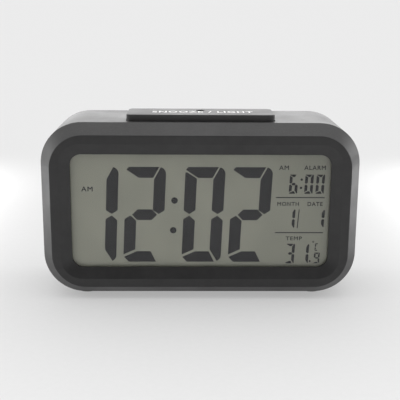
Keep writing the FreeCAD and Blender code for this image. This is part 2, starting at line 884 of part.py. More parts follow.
def top_header():
    """The row of bent pins in the corner between the main board and the top board."""
    pieces = [block((header_x - header_pitch / 2, header_x + (header_pins - 0.5) * header_pitch),
                    (board_far, board_far + header_pitch), (top_board_high, top_board_high + header_pitch))]
    end = board_far + 2 * header_pitch
    rise = top_board_high + header_pitch / 2
    for number in range(header_pins):
        span = around(header_x + header_pitch * number, header_pin)
        pieces.append(block(span, (board_far + header_pitch / 2, end), (rise, rise + header_pin)))
        pieces.append(block(span, (end - header_pin, end), (top_board_high, rise + header_pin)))
    return fuse(pieces)


# ---- rear keys ----
def key_cap(x):
    """A round key with a flange behind the wall and a stem for the switch."""
    cap = round_edges(rod_back(x, key_height, key_radius, key_flange_far, key_top), key_edge, "y", key_top)
    flange = rod_back(x, key_height, key_radius + key_flange, key_flange_near, key_flange_far)
    stem = rod_back(x, key_height, key_stem_radius, key_stem_near, key_flange_near)
    return fuse([cap, flange, stem])


def on_key_board(shape, x):
    """Turns a switch part so that it stands on the rear face of the key board."""
    placed = shape.copy()
    placed.rotate(Vector(0, 0, 0), Vector(1, 0, 0), -90)
    placed.translate(Vector(x, key_board_far, key_height))
    return placed


def key_board():
    board = slab((key_board_width, key_board_height, small_board_corner), key_board_near, key_board_far,
                 0, panel_middle)
    hole_radius = board_screw_radius + board_hole_gap
    return cut(board, [rod_back(side * key_board_boss_offset, panel_middle, hole_radius,
                                key_board_near - spill, key_board_far + spill) for side in LEFT_RIGHT])


def key_board_screws():
    screws = []
    for side in LEFT_RIGHT:
        piece = board_screw()
        piece.rotate(Vector(0, 0, 0), Vector(1, 0, 0), 180)
        piece.translate(Vector(side * key_board_boss_offset, key_board_near, panel_middle))
        screws.append(piece)
    return Part.makeCompound(screws)


def slide_switch_cases():
    cases = []
    edge = slide_case_wall / 2
    room = (slide_case_width - 2 * slide_case_wall, slide_case_height - 2 * slide_case_wall, edge)
    stem_room = slide_knob_width - 2 * slide_stem_inset + slide_travel + 2 * slide_gap
    mouth = (stem_room, slide_knob_height, edge)
    for side in LEFT_RIGHT:
        x = side * slide_offset
        case = slab((slide_case_width, slide_case_height, edge), key_board_far, slide_case_far, x, key_height)
        cases.append(cut(case, [slab(room, key_board_far + slide_floor, slide_case_far - slide_case_wall,
                                     x, key_height),
                                slab(mouth, slide_case_far - spill, slide_case_far + spill, x, key_height)]))
    return Part.makeCompound(cases)


def slide_switch_slider(side):
    """A knob with a ribbed face. It stands at the left end of its travel and moves towards +x."""
    x = side * slide_offset - slide_travel / 2
    edge = slide_case_wall / 2
    shoe_height = slide_case_height - 2 * slide_case_wall - 2 * fit_gap
    shoe_far = slide_case_far - slide_case_wall - fit_gap
    shoe = slab((slide_knob_width, shoe_height, edge), key_board_far + slide_floor + fit_gap, shoe_far,
                x, key_height)
    stem = slab((slide_knob_width - 2 * slide_stem_inset, slide_knob_height - 2 * slide_gap, edge),
                shoe_far - fit_gap, panel_floor, x, key_height)
    knob = slab((slide_knob_width, slide_knob_height, slide_knob_edge), panel_inner + board_hole_gap, key_top,
                x, key_height)
    grooves = []
    for step in (-1, 0, 1):
        grooves.append(block(around(x + step * slide_groove_pitch, slide_groove_width),
                             (key_top - slide_groove_depth, key_top + spill),
                             around(key_height, 2 * slide_knob_height)))
    return cut(fuse([shoe, stem, knob]), grooves)


# ---- battery bay ----
def contact_span(side):
    """The two faces, in x, of the contact plates at that end of the bay."""
    outer = side * (bay_inner_width / 2 - bay_gap)
    return tuple(sorted((outer, outer - side * contact_thickness)))


def battery_cell(z, direction):
    """A cell that lies along x. direction is the side that its positive nub points to."""
    nub_end = contact_span(-1)[1] + contact_gap
    can = rod_right(cell_y, z, cell_radius, nub_end + cell_nub, nub_end + cell_length)
    can = can.makeFillet(cell_edge, [edge for edge in can.Edges if edge.Closed])
    cell = fuse([can, rod_right(cell_y, z, cell_nub_radius, nub_end, nub_end + cell_nub + sink)])
    if direction > 0:
        cell.rotate(Vector(0, cell_y, z), Vector(0, 0, 1), 180)
    return cell


def contact_plate(side, low_cell, high_cell):
    """A plate at one end of the bay that reaches over one cell, or over two to link them."""
    reach = contact_width / 2
    return block(contact_span(side), around(cell_y, contact_width), (low_cell - reach, high_cell + reach))


def terminal(side, z):
    """A plate over one cell, with a tail through the bay's floor for its lead."""
    tail = block(contact_span(side), (tail_front, cell_y), around(z, contact_tail_width))
    return fuse([contact_plate(side, z, z), tail])


def contact_springs():
    """One tapered coil for each cell, wide at its plate and narrow at the cell."""
    springs = []
    rise = contact_spring_length - 2 * contact_spring_wire - 2 * spring_end_gap
    for number, z in enumerate(cell_heights):
        side = -1 if number == 1 else 1
        spring = coil(contact_spring_radius, contact_spring_tip, rise, contact_spring_turns,
                      contact_spring_wire)
        spring.rotate(Vector(0, 0, 0), Vector(0, 1, 0), -90 * side)
        plate_face = min(contact_span(side), key=abs)
        spring.translate(Vector(plate_face - side * (contact_spring_wire + spring_end_gap), cell_y, z))
        springs.append(spring)
    return Part.makeCompound(springs)


def battery_door():
    """A plate with two hooked tabs along its lower edge and a springy tongue cut into its upper edge."""
    plate = slab((door_width, door_height, door_corner_radius), door_near, door_far, 0, bay_middle)
    plate = round_edges(plate, door_edge, "y", door_far)
    pieces = [plate]
    tab_top = door_sill - tab_reach + tab_height
    for side in LEFT_RIGHT:
        span = around(side * tab_offset, tab_width)
        pieces.append(block(span, (tab_far - tab_thickness, tab_far), (door_sill - tab_reach, tab_top)))
        pieces.append(block(span, (tab_far - tab_thickness, door_near + sink),
                            (bay_floor + fit_gap, tab_top)))
    tools = []
    for side in LEFT_RIGHT:
        tools.append(block(around(side * latch_width / 2, latch_slit), (door_near - spill, door_far + spill),
                           (door_top - latch_length, door_top + spill)))
    for number in range(latch_ridges):
        middle = door_top - (number + 1) * latch_ridge_pitch
        tools.append(block(around(0, latch_width - 2 * latch_groove_inset),
                           (door_far - latch_groove_depth, door_far + spill), around(middle, latch_groove)))
    return cut(fuse(pieces), tools)


# ---- sounder, temperature sensor and leads ----
def buzzer_disc():
    return rod_back(sounder_x, sounder_z, sounder_radius, sounder_near, sounder_far)


def buzzer_ceramic():
    return rod_back(sounder_x, sounder_z, ceramic_radius, sounder_near - ceramic_thickness, sounder_near)


def temperature_sensor():
    """A bead behind the vent slots, on its own lead to the main board."""
    x, y = -sounder_x, rear_inner - bead_setback
    bend = (y - board_far) / 3
    wire = lead([Vector(x, y, sounder_z), Vector(x, y - bend, sounder_z),
                 Vector(x + bend / 2, board_far + bend, sounder_z + bend),
                 Vector(x + bend / 2, board_far, sounder_z + bend)], lead_radius)
    return fuse([Part.makeSphere(bead_radius, Vector(x, y, sounder_z)), wire])


def battery_lead(side, z, board_z):
    """A lead from a contact's tail to the main board."""
    x = sum(contact_span(side)) / 2
    bend = (tail_front - board_far) / 3
    end_x = x + side * bend
    return lead([Vector(x, tail_front, z), Vector(x, tail_front - bend, z),
                 Vector(end_x, board_far + bend, board_z), Vector(end_x, board_far, board_z)], lead_radius)


def buzzer_leads():
    """One lead from the brass disc's edge and one from the ceramic's face."""
    leads = []
    bend = (sounder_near - board_far) / 3
    rim_joint = (sounder_near, (ceramic_radius + sounder_radius) / 2)
    face_joint = (sounder_near - ceramic_thickness, ceramic_radius / 3)
    for side, (start, drop) in zip(LEFT_RIGHT, (rim_joint, face_joint)):
        x = sounder_x + side * 2 * lead_radius
        z = sounder_z - drop
        leads.append(lead([Vector(x, start, z), Vector(x, start - bend, z),
                           Vector(x - bend / 2, board_far + bend, z + bend),
                           Vector(x - bend / 2, board_far, z + bend)], thin_lead_radius))
    return Part.makeCompound(leads)


def key_ribbon():
    """The flat ribbon from the key board to the main board."""
    z = panel_middle - key_board_height / 4
    span = key_board_near - board_far
    drop = span / 4
    points = [Vector(0, key_board_near, z), Vector(0, key_board_near - span / 3, z),
              Vector(0, board_far + span / 3, z - drop), Vector(0, board_far, z - drop)]
    side, lift = Vector(ribbon_width / 2, 0, 0), Vector(0, 0, ribbon_thickness / 2)
    corners = [points[0] + side * a + lift * b for a, b in ((-1, -1), (1, -1), (1, 1), (-1, 1), (-1, -1))]
    return bent_path(points).makePipeShell([Part.makePolygon(corners)], True, False)


# ---- the whole clock ----
os.makedirs("parts", exist_ok=True)
pieces = {
    "front_bezel": front_bezel(),
    "rear_housing": rear_housing(),
    "rubber_feet": rubber_feet(),
    "housing_screws": housing_screws(),
    "display_lens": display_lens(),
    "lcd_front_polarizer": display_film(polarizer_near, front_glass_near),
    "lcd_front_glass": display_sheet(glass_width, ledge_sill, glass_top, front_glass_near, rear_glass_near),
    "lcd_rear_glass": display_sheet(glass_width, glass_sill, glass_top, rear_glass_near, reflector_near),
    "lcd_reflector": display_film(reflector_near, reflector_far),
    "light_guide": light_guide(),
    "backlight_leds": backlight_leds(),
    "zebra_strip": zebra_strip(),
    "lcd_frame": lcd_frame(),
    "main_board": main_board(),
    "board_screws": board_screws(),
    "controller_cap": controller_cap(),
    "clock_crystal": clock_crystal(),
    "board_capacitors": board_capacitors(),
    "board_chips": board_chips(),
    "snooze_bar": snooze_bar(),
    "sensor_window": sensor_window(),
    "snooze_springs": snooze_springs(),
    "top_board": top_board(),
    "top_board_screws": top_board_screws(),
    "snooze_switch_case": on_top_board(push_switch_case()),
    "snooze_switch_plunger": on_top_board(push_switch_plunger()),
    "light_sensor": light_sensor(),
    "top_header": top_header(),
    "key_switch_cases": Part.makeCompound([on_key_board(push_switch_case(), x) for x in key_xs]),
    "key_board": key_board(),
    "key_board_screws": key_board_screws(),
    "slide_switch_cases": slide_switch_cases(),
    "alarm_switch_slider": slide_switch_slider(-1),
    "sensor_switch_slider": slide_switch_slider(1),
    "battery_cell_upper": battery_cell(cell_heights[0], -1),
    "battery_cell_middle": battery_cell(cell_heights[1], 1),
    "battery_cell_lower": battery_cell(cell_heights[2], -1),
    "positive_terminal": terminal(-1, cell_heights[0]),
    "negative_terminal": terminal(1, cell_heights[2]),
    "left_link_contact": contact_plate(-1, cell_heights[2], cell_heights[1]),
    "right_link_contact": contact_plate(1, cell_heights[1], cell_heights[0]),
    "contact_springs": contact_springs(),
    "battery_door": battery_door(),
    "buzzer_disc": buzzer_disc(),
    "buzzer_ceramic": buzzer_ceramic(),
    "buzzer_leads": buzzer_leads(),
    "temperature_sensor": temperature_sensor(),
    "battery_lead_red": battery_lead(-1, cell_heights[0], cell_heights[0] + cell_radius),
    "battery_lead_black": battery_lead(1, cell_heights[2], cell_heights[2] + cell_radius),
    "key_ribbon": key_ribbon(),
}
for key_name, key_x in zip(key_names, key_xs):
    pieces[key_name + "_key"] = key_cap(key_x)
    pieces[key_name + "_switch_plunger"] = on_key_board(push_switch_plunger(), key_x)
for piece_name, piece_shape in pieces.items():
    save(piece_name, piece_shape)
print(f"The door's hinge: y {hinge_y - casing_depth / 2:.2f}, z {hinge_z + foot_height:.2f}")
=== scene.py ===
import math

import bpy
from mathutils import Matrix, Vector


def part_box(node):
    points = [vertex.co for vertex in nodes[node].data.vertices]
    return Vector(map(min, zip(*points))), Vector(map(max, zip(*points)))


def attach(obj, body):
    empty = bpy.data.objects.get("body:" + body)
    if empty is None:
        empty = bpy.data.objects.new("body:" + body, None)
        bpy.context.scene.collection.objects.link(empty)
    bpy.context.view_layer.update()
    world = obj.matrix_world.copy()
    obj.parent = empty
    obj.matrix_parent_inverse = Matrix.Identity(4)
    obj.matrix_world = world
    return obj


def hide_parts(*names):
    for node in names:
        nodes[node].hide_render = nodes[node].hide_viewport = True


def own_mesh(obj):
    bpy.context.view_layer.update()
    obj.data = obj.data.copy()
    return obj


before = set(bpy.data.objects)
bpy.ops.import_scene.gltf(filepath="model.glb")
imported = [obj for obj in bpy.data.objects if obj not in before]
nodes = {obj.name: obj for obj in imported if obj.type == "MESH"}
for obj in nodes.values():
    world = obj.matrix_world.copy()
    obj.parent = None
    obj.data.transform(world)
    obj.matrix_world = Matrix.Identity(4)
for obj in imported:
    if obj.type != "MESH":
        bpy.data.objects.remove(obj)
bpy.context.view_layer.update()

# ---------------------------------------------------------------- viewpoint
# A person sitting at a table looks slightly down on the clock, about a third
# of a metre from its face, through a long lens.
eye_place = (-0.0064, -0.35835, 0.1282)
eye_pitch = math.radians(14.0)
eye_yaw = math.radians(1.04)
eye_roll = math.radians(0.39)

camera_data = bpy.data.cameras.new("eye")
camera_data.sensor_width = 36.0
camera_data.lens = 73.7
camera_data.clip_start = 0.01
camera_data.clip_end = 200.0
camera = bpy.data.objects.new("eye", camera_data)
bpy.context.scene.collection.objects.link(camera)
camera.matrix_world = (
    Matrix.Translation(eye_place)
    @ Matrix.Rotation(-eye_yaw, 4, "Z")
    @ Matrix.Rotation(math.pi / 2 - eye_pitch, 4, "X")
    @ Matrix.Rotation(eye_roll, 4, "Z")
)
bpy.context.scene.camera = camera

# ---------------------------------------------------------------- black mouldings
# Bezel, rear housing and battery door are injection-moulded black ABS with a
# fine spark-eroded satin texture. Handling leaves slow patches of shine on
# it, and a trace of dust settles on the faces that look up.


def node_group(name, inputs, outputs):
    """An empty shader group with its named sockets, and its two end nodes."""
    group = bpy.data.node_groups.new(name, "ShaderNodeTree")
    for title, kind, value in inputs:
        socket = group.interface.new_socket(
            name=title, in_out="INPUT", socket_type=kind
        )
        if value is not None:
            socket.default_value = value
    for title, kind in outputs:
        group.interface.new_socket(name=title, in_out="OUTPUT", socket_type=kind)
    start = group.nodes.new("NodeGroupInput")
    end = group.nodes.new("NodeGroupOutput")
    return group, start, end


def noise(tree, vector, scale, detail=2.0, roughness=0.5):
    """A noise node fed with this vector; its value goes from 0 to 1."""
    made = tree.nodes.new("ShaderNodeTexNoise")
    made.inputs["Scale"].default_value = scale
    made.inputs["Detail"].default_value = detail
    made.inputs["Roughness"].default_value = roughness
    tree.links.new(vector, made.inputs["Vector"])
    return made.outputs["Fac"]


def fit(tree, value, low, high, to_low, to_high):
    """The value carried from one range to another, and held inside it."""
    made = tree.nodes.new("ShaderNodeMapRange")
    made.interpolation_type = "SMOOTHSTEP"
    for title, number in (
        ("From Min", low),
        ("From Max", high),
        ("To Min", to_low),
        ("To Max", to_high),
    ):
        made.inputs[title].default_value = number
    tree.links.new(value, made.inputs["Value"])
    return made.outputs["Result"]


def reckon(tree, operation, first, second):
    """One sum on two values, each a socket or a number."""
    made = tree.nodes.new("ShaderNodeMath")
    made.operation = operation
    for place, value in enumerate((first, second)):
        if isinstance(value, (int, float)):
            made.inputs[place].default_value = value
        else:
            tree.links.new(value, made.inputs[place])
    return made.outputs["Value"]


def blend_colours(tree, share, first, second):
    """Two colours mixed by a share, each a socket or red, green and blue."""
    made = tree.nodes.new("ShaderNodeMix")
    made.data_type = "RGBA"
    for place, value in ((6, first), (7, second)):
        if isinstance(value, (tuple, list)):
            made.inputs[place].default_value = (*value, 1.0)
        else:
            tree.links.new(value, made.inputs[place])
    if isinstance(share, (int, float)):
        made.inputs[0].default_value = share
    else:
        tree.links.new(share, made.inputs[0])
    return made.outputs[2]


# moulded texture: fine grain, slow patches of shine, and a little dust above
moulded_texture, start, end = node_group(
    "moulded_texture",
    [
        ("Vector", "NodeSocketVector", None),
        ("Colour", "NodeSocketColor", (0.02, 0.02, 0.02, 1.0)),
        ("Roughness", "NodeSocketFloat", 0.4),
        ("Grain", "NodeSocketFloat", 3000.0),
        ("Dust", "NodeSocketFloat", 0.5),
    ],
    [
        ("Colour", "NodeSocketColor"),
        ("Roughness", "NodeSocketFloat"),
        ("Height", "NodeSocketFloat"),
    ],
)
grain_vector = moulded_texture.nodes.new("ShaderNodeVectorMath")
grain_vector.operation = "SCALE"
moulded_texture.links.new(start.outputs["Vector"], grain_vector.inputs[0])
moulded_texture.links.new(start.outputs["Grain"], grain_vector.inputs["Scale"])
grain = noise(moulded_texture, grain_vector.outputs["Vector"], 1.0, 3.0, 0.6)
patches = noise(moulded_texture, start.outputs["Vector"], 38.0, 4.0, 0.6)
mottle = noise(moulded_texture, start.outputs["Vector"], 260.0, 3.0, 0.6)
facing = moulded_texture.nodes.new("ShaderNodeNewGeometry")
facing_parts = moulded_texture.nodes.new("ShaderNodeSeparateXYZ")
moulded_texture.links.new(facing.outputs["Normal"], facing_parts.inputs["Vector"])
upward = fit(moulded_texture, facing_parts.outputs["Z"], 0.4, 1.0, 0.0, 1.0)
specks = noise(moulded_texture, start.outputs["Vector"], 1900.0, 2.0, 0.5)
dust = reckon(
    moulded_texture,
    "MULTIPLY",
    reckon(moulded_texture, "MULTIPLY", upward, start.outputs["Dust"]),
    fit(moulded_texture, specks, 0.45, 0.75, 0.1, 1.0),
)
toned = blend_colours(
    moulded_texture,
    fit(moulded_texture, mottle, 0.3, 0.7, 0.0, 0.22),
    start.outputs["Colour"],
    (0.030, 0.029, 0.029),
)
dusted = blend_colours(
    moulded_texture,
    reckon(moulded_texture, "MULTIPLY", dust, 0.16),
    toned,
    (0.32, 0.31, 0.30),
)
shine = reckon(
    moulded_texture,
    "ADD",
    start.outputs["Roughness"],
    fit(moulded_texture, patches, 0.3, 0.7, -0.05, 0.05),
)
shine = reckon(
    moulded_texture, "ADD", shine, reckon(moulded_texture, "MULTIPLY", dust, 0.1)
)
moulded_texture.links.new(dusted, end.inputs["Colour"])
moulded_texture.links.new(shine, end.inputs["Roughness"])
moulded_texture.links.new(grain, end.inputs["Height"])


def blank_material(name):
    """A material with its shader, and the piece's own coordinates."""
    material = bpy.data.materials.new(name)
    material.use_nodes = True
    shader = material.node_tree.nodes["Principled BSDF"]
    place = material.node_tree.nodes.new("ShaderNodeTexCoord")
    return material, material.node_tree, shader, place.outputs["Object"]


def use_group(tree, group, vector, **values):
    """A group placed in a material with that material's own values."""
    made = tree.nodes.new("ShaderNodeGroup")
    made.node_tree = group
    tree.links.new(vector, made.inputs["Vector"])
    for title, value in values.items():
        socket = made.inputs[title]
        socket.default_value = (*value, 1.0) if socket.type == "RGBA" else value
    return made


def relief(tree, shader, height, depth):
    """Raises the surface's finish by this height, depth in metres."""
    bump = tree.nodes.new("ShaderNodeBump")
    bump.inputs["Distance"].default_value = depth
    tree.links.new(height, bump.inputs["Height"])
    tree.links.new(bump.outputs["Normal"], shader.inputs["Normal"])


def moulding(name, colour, roughness, grain=3000.0, depth=0.00002, dust=0.5, **own):
    """A moulded plastic, rubber or lacquer; own values go on the shader."""
    material, tree, shader, place = blank_material(name)
    finish = use_group(
        tree,
        moulded_texture,
        place,
        Colour=colour,
        Roughness=roughness,
        Grain=grain,
        Dust=dust,
    )
    tree.links.new(finish.outputs["Colour"], shader.inputs["Base Color"])
    tree.links.new(finish.outputs["Roughness"], shader.inputs["Roughness"])
    relief(tree, shader, finish.outputs["Height"], depth)
    for title, value in own.items():
        shader.inputs[title.replace("_", " ")].default_value = value
    return material


def finish_nodes(material, *names):
    """CAD nodes get their finish, on every slot they have."""
    for name in names:
        for place in nodes[name].material_slots:
            place.material = material


casing_black = moulding(
    "casing_black",
    (0.0095, 0.0090, 0.0094),
    0.45,
    3200.0,
    0.000016,
    0.55,
    Specular_IOR_Level=0.65,
)
finish_nodes(casing_black, "front_bezel", "rear_housing", "battery_door")

# ---------------------------------------------------------------- feet and case screws
# Four round feet of soft black rubber sit in pockets under the casing. Four
# plated self-tapping screws go in through deep wells in the back.
foot_rubber = moulding(
    "foot_rubber", (0.018, 0.018, 0.018), 0.82, 1500.0, 0.00005, 0.2
)
finish_nodes(foot_rubber, "rubber_feet")

# drawn metal: fine lines left by rolling or drawing, and a dull patina
drawn_metal, start, end = node_group(
    "drawn_metal",
    [
        ("Vector", "NodeSocketVector", None),
        ("Colour", "NodeSocketColor", (0.6, 0.6, 0.6, 1.0)),
        ("Roughness", "NodeSocketFloat", 0.3),
        ("Lines", "NodeSocketVector", (200.0, 9000.0, 9000.0)),
        ("Tarnish", "NodeSocketFloat", 0.2),
    ],
    [
        ("Colour", "NodeSocketColor"),
        ("Roughness", "NodeSocketFloat"),
        ("Height", "NodeSocketFloat"),
    ],
)
stretch = drawn_metal.nodes.new("ShaderNodeVectorMath")
stretch.operation = "MULTIPLY"
drawn_metal.links.new(start.outputs["Vector"], stretch.inputs[0])
drawn_metal.links.new(start.outputs["Lines"], stretch.inputs[1])
lines = noise(drawn_metal, stretch.outputs["Vector"], 1.0, 3.0, 0.6)
bloom = noise(drawn_metal, start.outputs["Vector"], 420.0, 4.0, 0.65)
tarnish = reckon(
    drawn_metal,
    "MULTIPLY",
    fit(drawn_metal, bloom, 0.45, 0.75, 0.0, 1.0),
    start.outputs["Tarnish"],
)
drawn_metal.links.new(
    blend_colours(drawn_metal, tarnish, start.outputs["Colour"], (0.16, 0.14, 0.12)),
    end.inputs["Colour"],
)
rubbed = reckon(
    drawn_metal,
    "ADD",
    start.outputs["Roughness"],
    fit(drawn_metal, lines, 0.3, 0.7, -0.07, 0.08),
)
drawn_metal.links.new(
    reckon(drawn_metal, "ADD", rubbed, reckon(drawn_metal, "MULTIPLY", tarnish, 0.3)),
    end.inputs["Roughness"],
)
drawn_metal.links.new(lines, end.inputs["Height"])


def metal(name, colour, roughness, lines=(200.0, 9000.0, 9000.0), tarnish=0.2):
    """A rolled, drawn or plated metal."""
    material, tree, shader, place = blank_material(name)
    finish = use_group(
        tree,
        drawn_metal,
        place,
        Colour=colour,
        Roughness=roughness,
        Lines=lines,
        Tarnish=tarnish,
    )
    tree.links.new(finish.outputs["Colour"], shader.inputs["Base Color"])
    tree.links.new(finish.outputs["Roughness"], shader.inputs["Roughness"])
    shader.inputs["Metallic"].default_value = 1.0
    relief(tree, shader, finish.outputs["Height"], 0.000004)
    return material


plated_steel = metal("plated_steel", (0.62, 0.62, 0.60), 0.28)
finish_nodes(
    plated_steel,
    "housing_screws",
    "board_screws",
    "top_board_screws",
    "key_board_screws",
    "clock_crystal",
)

# ---------------------------------------------------------------- display stack
# Behind the lens lies a liquid crystal cell: polarizer film, two sheets of
# thin glass, a silvered film, and an acrylic plate lit from its ends by LEDs.
# A white frame clips the stack to the bezel and a rubber strip feeds it.
ground_colour = (0.545, 0.552, 0.455)
ground_shade = (0.505, 0.515, 0.425)
# painted shade: the film's colour at its right end, darker than the rest
ground_painted_shade = (0.425, 0.432, 0.355)

polarizer_film, tree, shader, place = blank_material("polarizer_film")
cloud = noise(tree, place, 55.0, 3.0, 0.5)
fleck = noise(tree, place, 5200.0, 2.0, 0.6)
cloudy = blend_colours(
    tree, fit(tree, cloud, 0.3, 0.7, 0.0, 1.0), ground_colour, ground_shade
)
# Painted shade: from 5 mm to 56 mm across, the film's colour darkens towards its right
# end.
lengthways = tree.nodes.new("ShaderNodeSeparateXYZ")
tree.links.new(place, lengthways.inputs["Vector"])
shaded_right_end = blend_colours(
    tree,
    fit(tree, lengthways.outputs["X"], 0.005, 0.056, 0.0, 0.9),
    cloudy,
    ground_painted_shade,
)
flecked = blend_colours(
    tree, fit(tree, fleck, 0.3, 0.7, 0.0, 0.10), shaded_right_end, (0.20, 0.205, 0.165)
)
tree.links.new(flecked, shader.inputs["Base Color"])
tree.links.new(fit(tree, fleck, 0.3, 0.7, 0.34, 0.46), shader.inputs["Roughness"])
shader.inputs["Specular IOR Level"].default_value = 0.25
relief(tree, shader, fleck, 0.000006)
finish_nodes(polarizer_film, "lcd_front_polarizer")


def clear_sheet(name, colour, roughness, index, scratch=0.03):
    """Clear glass or acrylic that lets lamps through, lightly scuffed."""
    material, tree, shader, place = blank_material(name)
    scuff = noise(tree, place, 900.0, 4.0, 0.7)
    haze = noise(tree, place, 60.0, 2.0, 0.5)
    tree.links.new(
        fit(tree, scuff, 0.45, 0.8, roughness, roughness + scratch),
        shader.inputs["Roughness"],
    )
    tree.links.new(
        blend_colours(
            tree,
            fit(tree, haze, 0.3, 0.7, 0.0, 1.0),
            colour,
            tuple(part * 0.97 for part in colour),
        ),
        shader.inputs["Base Color"],
    )
    shader.inputs["Transmission Weight"].default_value = 1.0
    shader.inputs["IOR"].default_value = index
    through = tree.nodes.new("ShaderNodeBsdfTransparent")
    through.inputs["Color"].default_value = (*colour, 1.0)
    path = tree.nodes.new("ShaderNodeLightPath")
    either = tree.nodes.new("ShaderNodeMixShader")
    tree.links.new(path.outputs["Is Shadow Ray"], either.inputs[0])
    tree.links.new(shader.outputs["BSDF"], either.inputs[1])
    tree.links.new(through.outputs["BSDF"], either.inputs[2])
    tree.links.new(
        either.outputs["Shader"], tree.nodes["Material Output"].inputs["Surface"]
    )
    return material


lcd_glass = clear_sheet("lcd_glass", (0.93, 0.97, 0.95), 0.01, 1.52)
finish_nodes(lcd_glass, "lcd_front_glass", "lcd_rear_glass")
clear_acrylic = clear_sheet("clear_acrylic", (0.97, 0.98, 0.97), 0.04, 1.49)
finish_nodes(clear_acrylic, "light_guide")
finish_nodes(
    metal("reflector_film", (0.80, 0.82, 0.80), 0.38, (6000.0, 6000.0, 6000.0), 0.05),
    "lcd_reflector",
)
white_plastic = moulding(
    "white_plastic", (0.70, 0.70, 0.67), 0.45, 2500.0, 0.00001, 0.3
)
finish_nodes(white_plastic, "lcd_frame")
finish_nodes(
    moulding("led_resin", (0.78, 0.62, 0.16), 0.25, 9000.0, 0.000005, 0.0),
    "backlight_leds",
)

# the strip is black and grey rubber in thin layers, fifty to the centimetre
zebra_rubber, tree, shader, place = blank_material("zebra_rubber")
layers = tree.nodes.new("ShaderNodeTexWave")
layers.bands_direction = "X"
layers.inputs["Scale"].default_value = 800.0
layers.inputs["Distortion"].default_value = 0.4
tree.links.new(place, layers.inputs["Vector"])
tree.links.new(
    blend_colours(
        tree, layers.outputs["Fac"], (0.015, 0.015, 0.015), (0.16, 0.16, 0.15)
    ),
    shader.inputs["Base Color"],
)
tree.links.new(
    fit(tree, layers.outputs["Fac"], 0.0, 1.0, 0.75, 0.6), shader.inputs["Roughness"]
)
finish_nodes(zebra_rubber, "zebra_strip")

# ---------------------------------------------------------------- liquid crystal figures
# The lit segments are clear electrodes that turn the crystal dark. Each
# figure is seven bars with slanting ends, set apart by a hair's breadth, all
# leaning a little to the right.
lens_low, lens_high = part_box("display_lens")
film_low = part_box("lcd_front_polarizer")[0]
window_middle_x = (lens_low.x + lens_high.x) / 2
window_middle_z = (lens_low.z + lens_high.z) / 2
figure_front = film_low.y - 0.00009
figure_depth = 0.00005
figure_lean = math.tan(math.radians(2.5))

figure_dark, tree, shader, place = blank_material("figure_dark")
ripple = noise(tree, place, 700.0, 2.0, 0.5)
tree.links.new(
    blend_colours(
        tree,
        fit(tree, ripple, 0.3, 0.7, 0.0, 1.0),
        (0.014, 0.014, 0.018),
        (0.018, 0.018, 0.022),
    ),
    shader.inputs["Base Color"],
)
tree.links.new(fit(tree, ripple, 0.3, 0.7, 0.45, 0.55), shader.inputs["Roughness"])
shader.inputs["Specular IOR Level"].default_value = 0.08


def only_select(*pieces):
    """Nothing else selected, and the last of these active."""
    if bpy.context.object and bpy.context.object.mode != "OBJECT":
        bpy.ops.object.mode_set(mode="OBJECT")
    bpy.ops.object.select_all(action="DESELECT")
    for piece in pieces:
        piece.select_set(True)
        bpy.context.view_layer.objects.active = piece


def lcd_bar(left, right, foot, top, cuts):
    """A flat bar, its ends trimmed by slanting cuts, each a point and the
    direction of what falls away."""
    only_select()
    bpy.ops.mesh.primitive_plane_add(
        size=1.0,
        location=((left + right) / 2, 0.0, (foot + top) / 2),
        rotation=(math.pi / 2, 0.0, 0.0),
    )
    bar = bpy.context.object
    bar.scale = (right - left, top - foot, 1.0)
    bpy.ops.object.transform_apply(location=True, rotation=True, scale=True)
    bpy.ops.object.mode_set(mode="EDIT")
    for (across, up), (away_x, away_z) in cuts:
        bpy.ops.mesh.select_all(action="SELECT")
        bpy.ops.mesh.bisect(
            plane_co=(across, 0.0, up),
            plane_no=(away_x, 0.0, away_z),
            clear_outer=True,
            threshold=1e-7,
        )
    bpy.ops.mesh.select_all(action="SELECT")
    bpy.ops.mesh.extrude_region_move(
        TRANSFORM_OT_translate={"value": (0.0, figure_depth, 0.0)}
    )
    bpy.ops.mesh.select_all(action="SELECT")
    bpy.ops.mesh.normals_make_consistent(inside=False)
    bpy.ops.object.mode_set(mode="OBJECT")
    return bar


segments_lit = {
    "0": "abcdef",
    "1": "bc",
    "2": "abged",
    "3": "abgcd",
    "6": "afgecd",
    "9": "abfgcd",
    "C": "afed",
}


def rounded(across, up, radius, way):
    """The cuts that round a bar's outer corner, which lies at that point."""
    centre = (across - radius, up - way * radius)
    turns = [math.radians(angle) for angle in (18, 36, 54, 72)]
    return tuple(
        (
            (
                centre[0] + radius * math.sin(turn),
                centre[1] + way * radius * math.cos(turn),
            ),
            (math.sin(turn), way * math.cos(turn)),
        )
        for turn in turns
    )


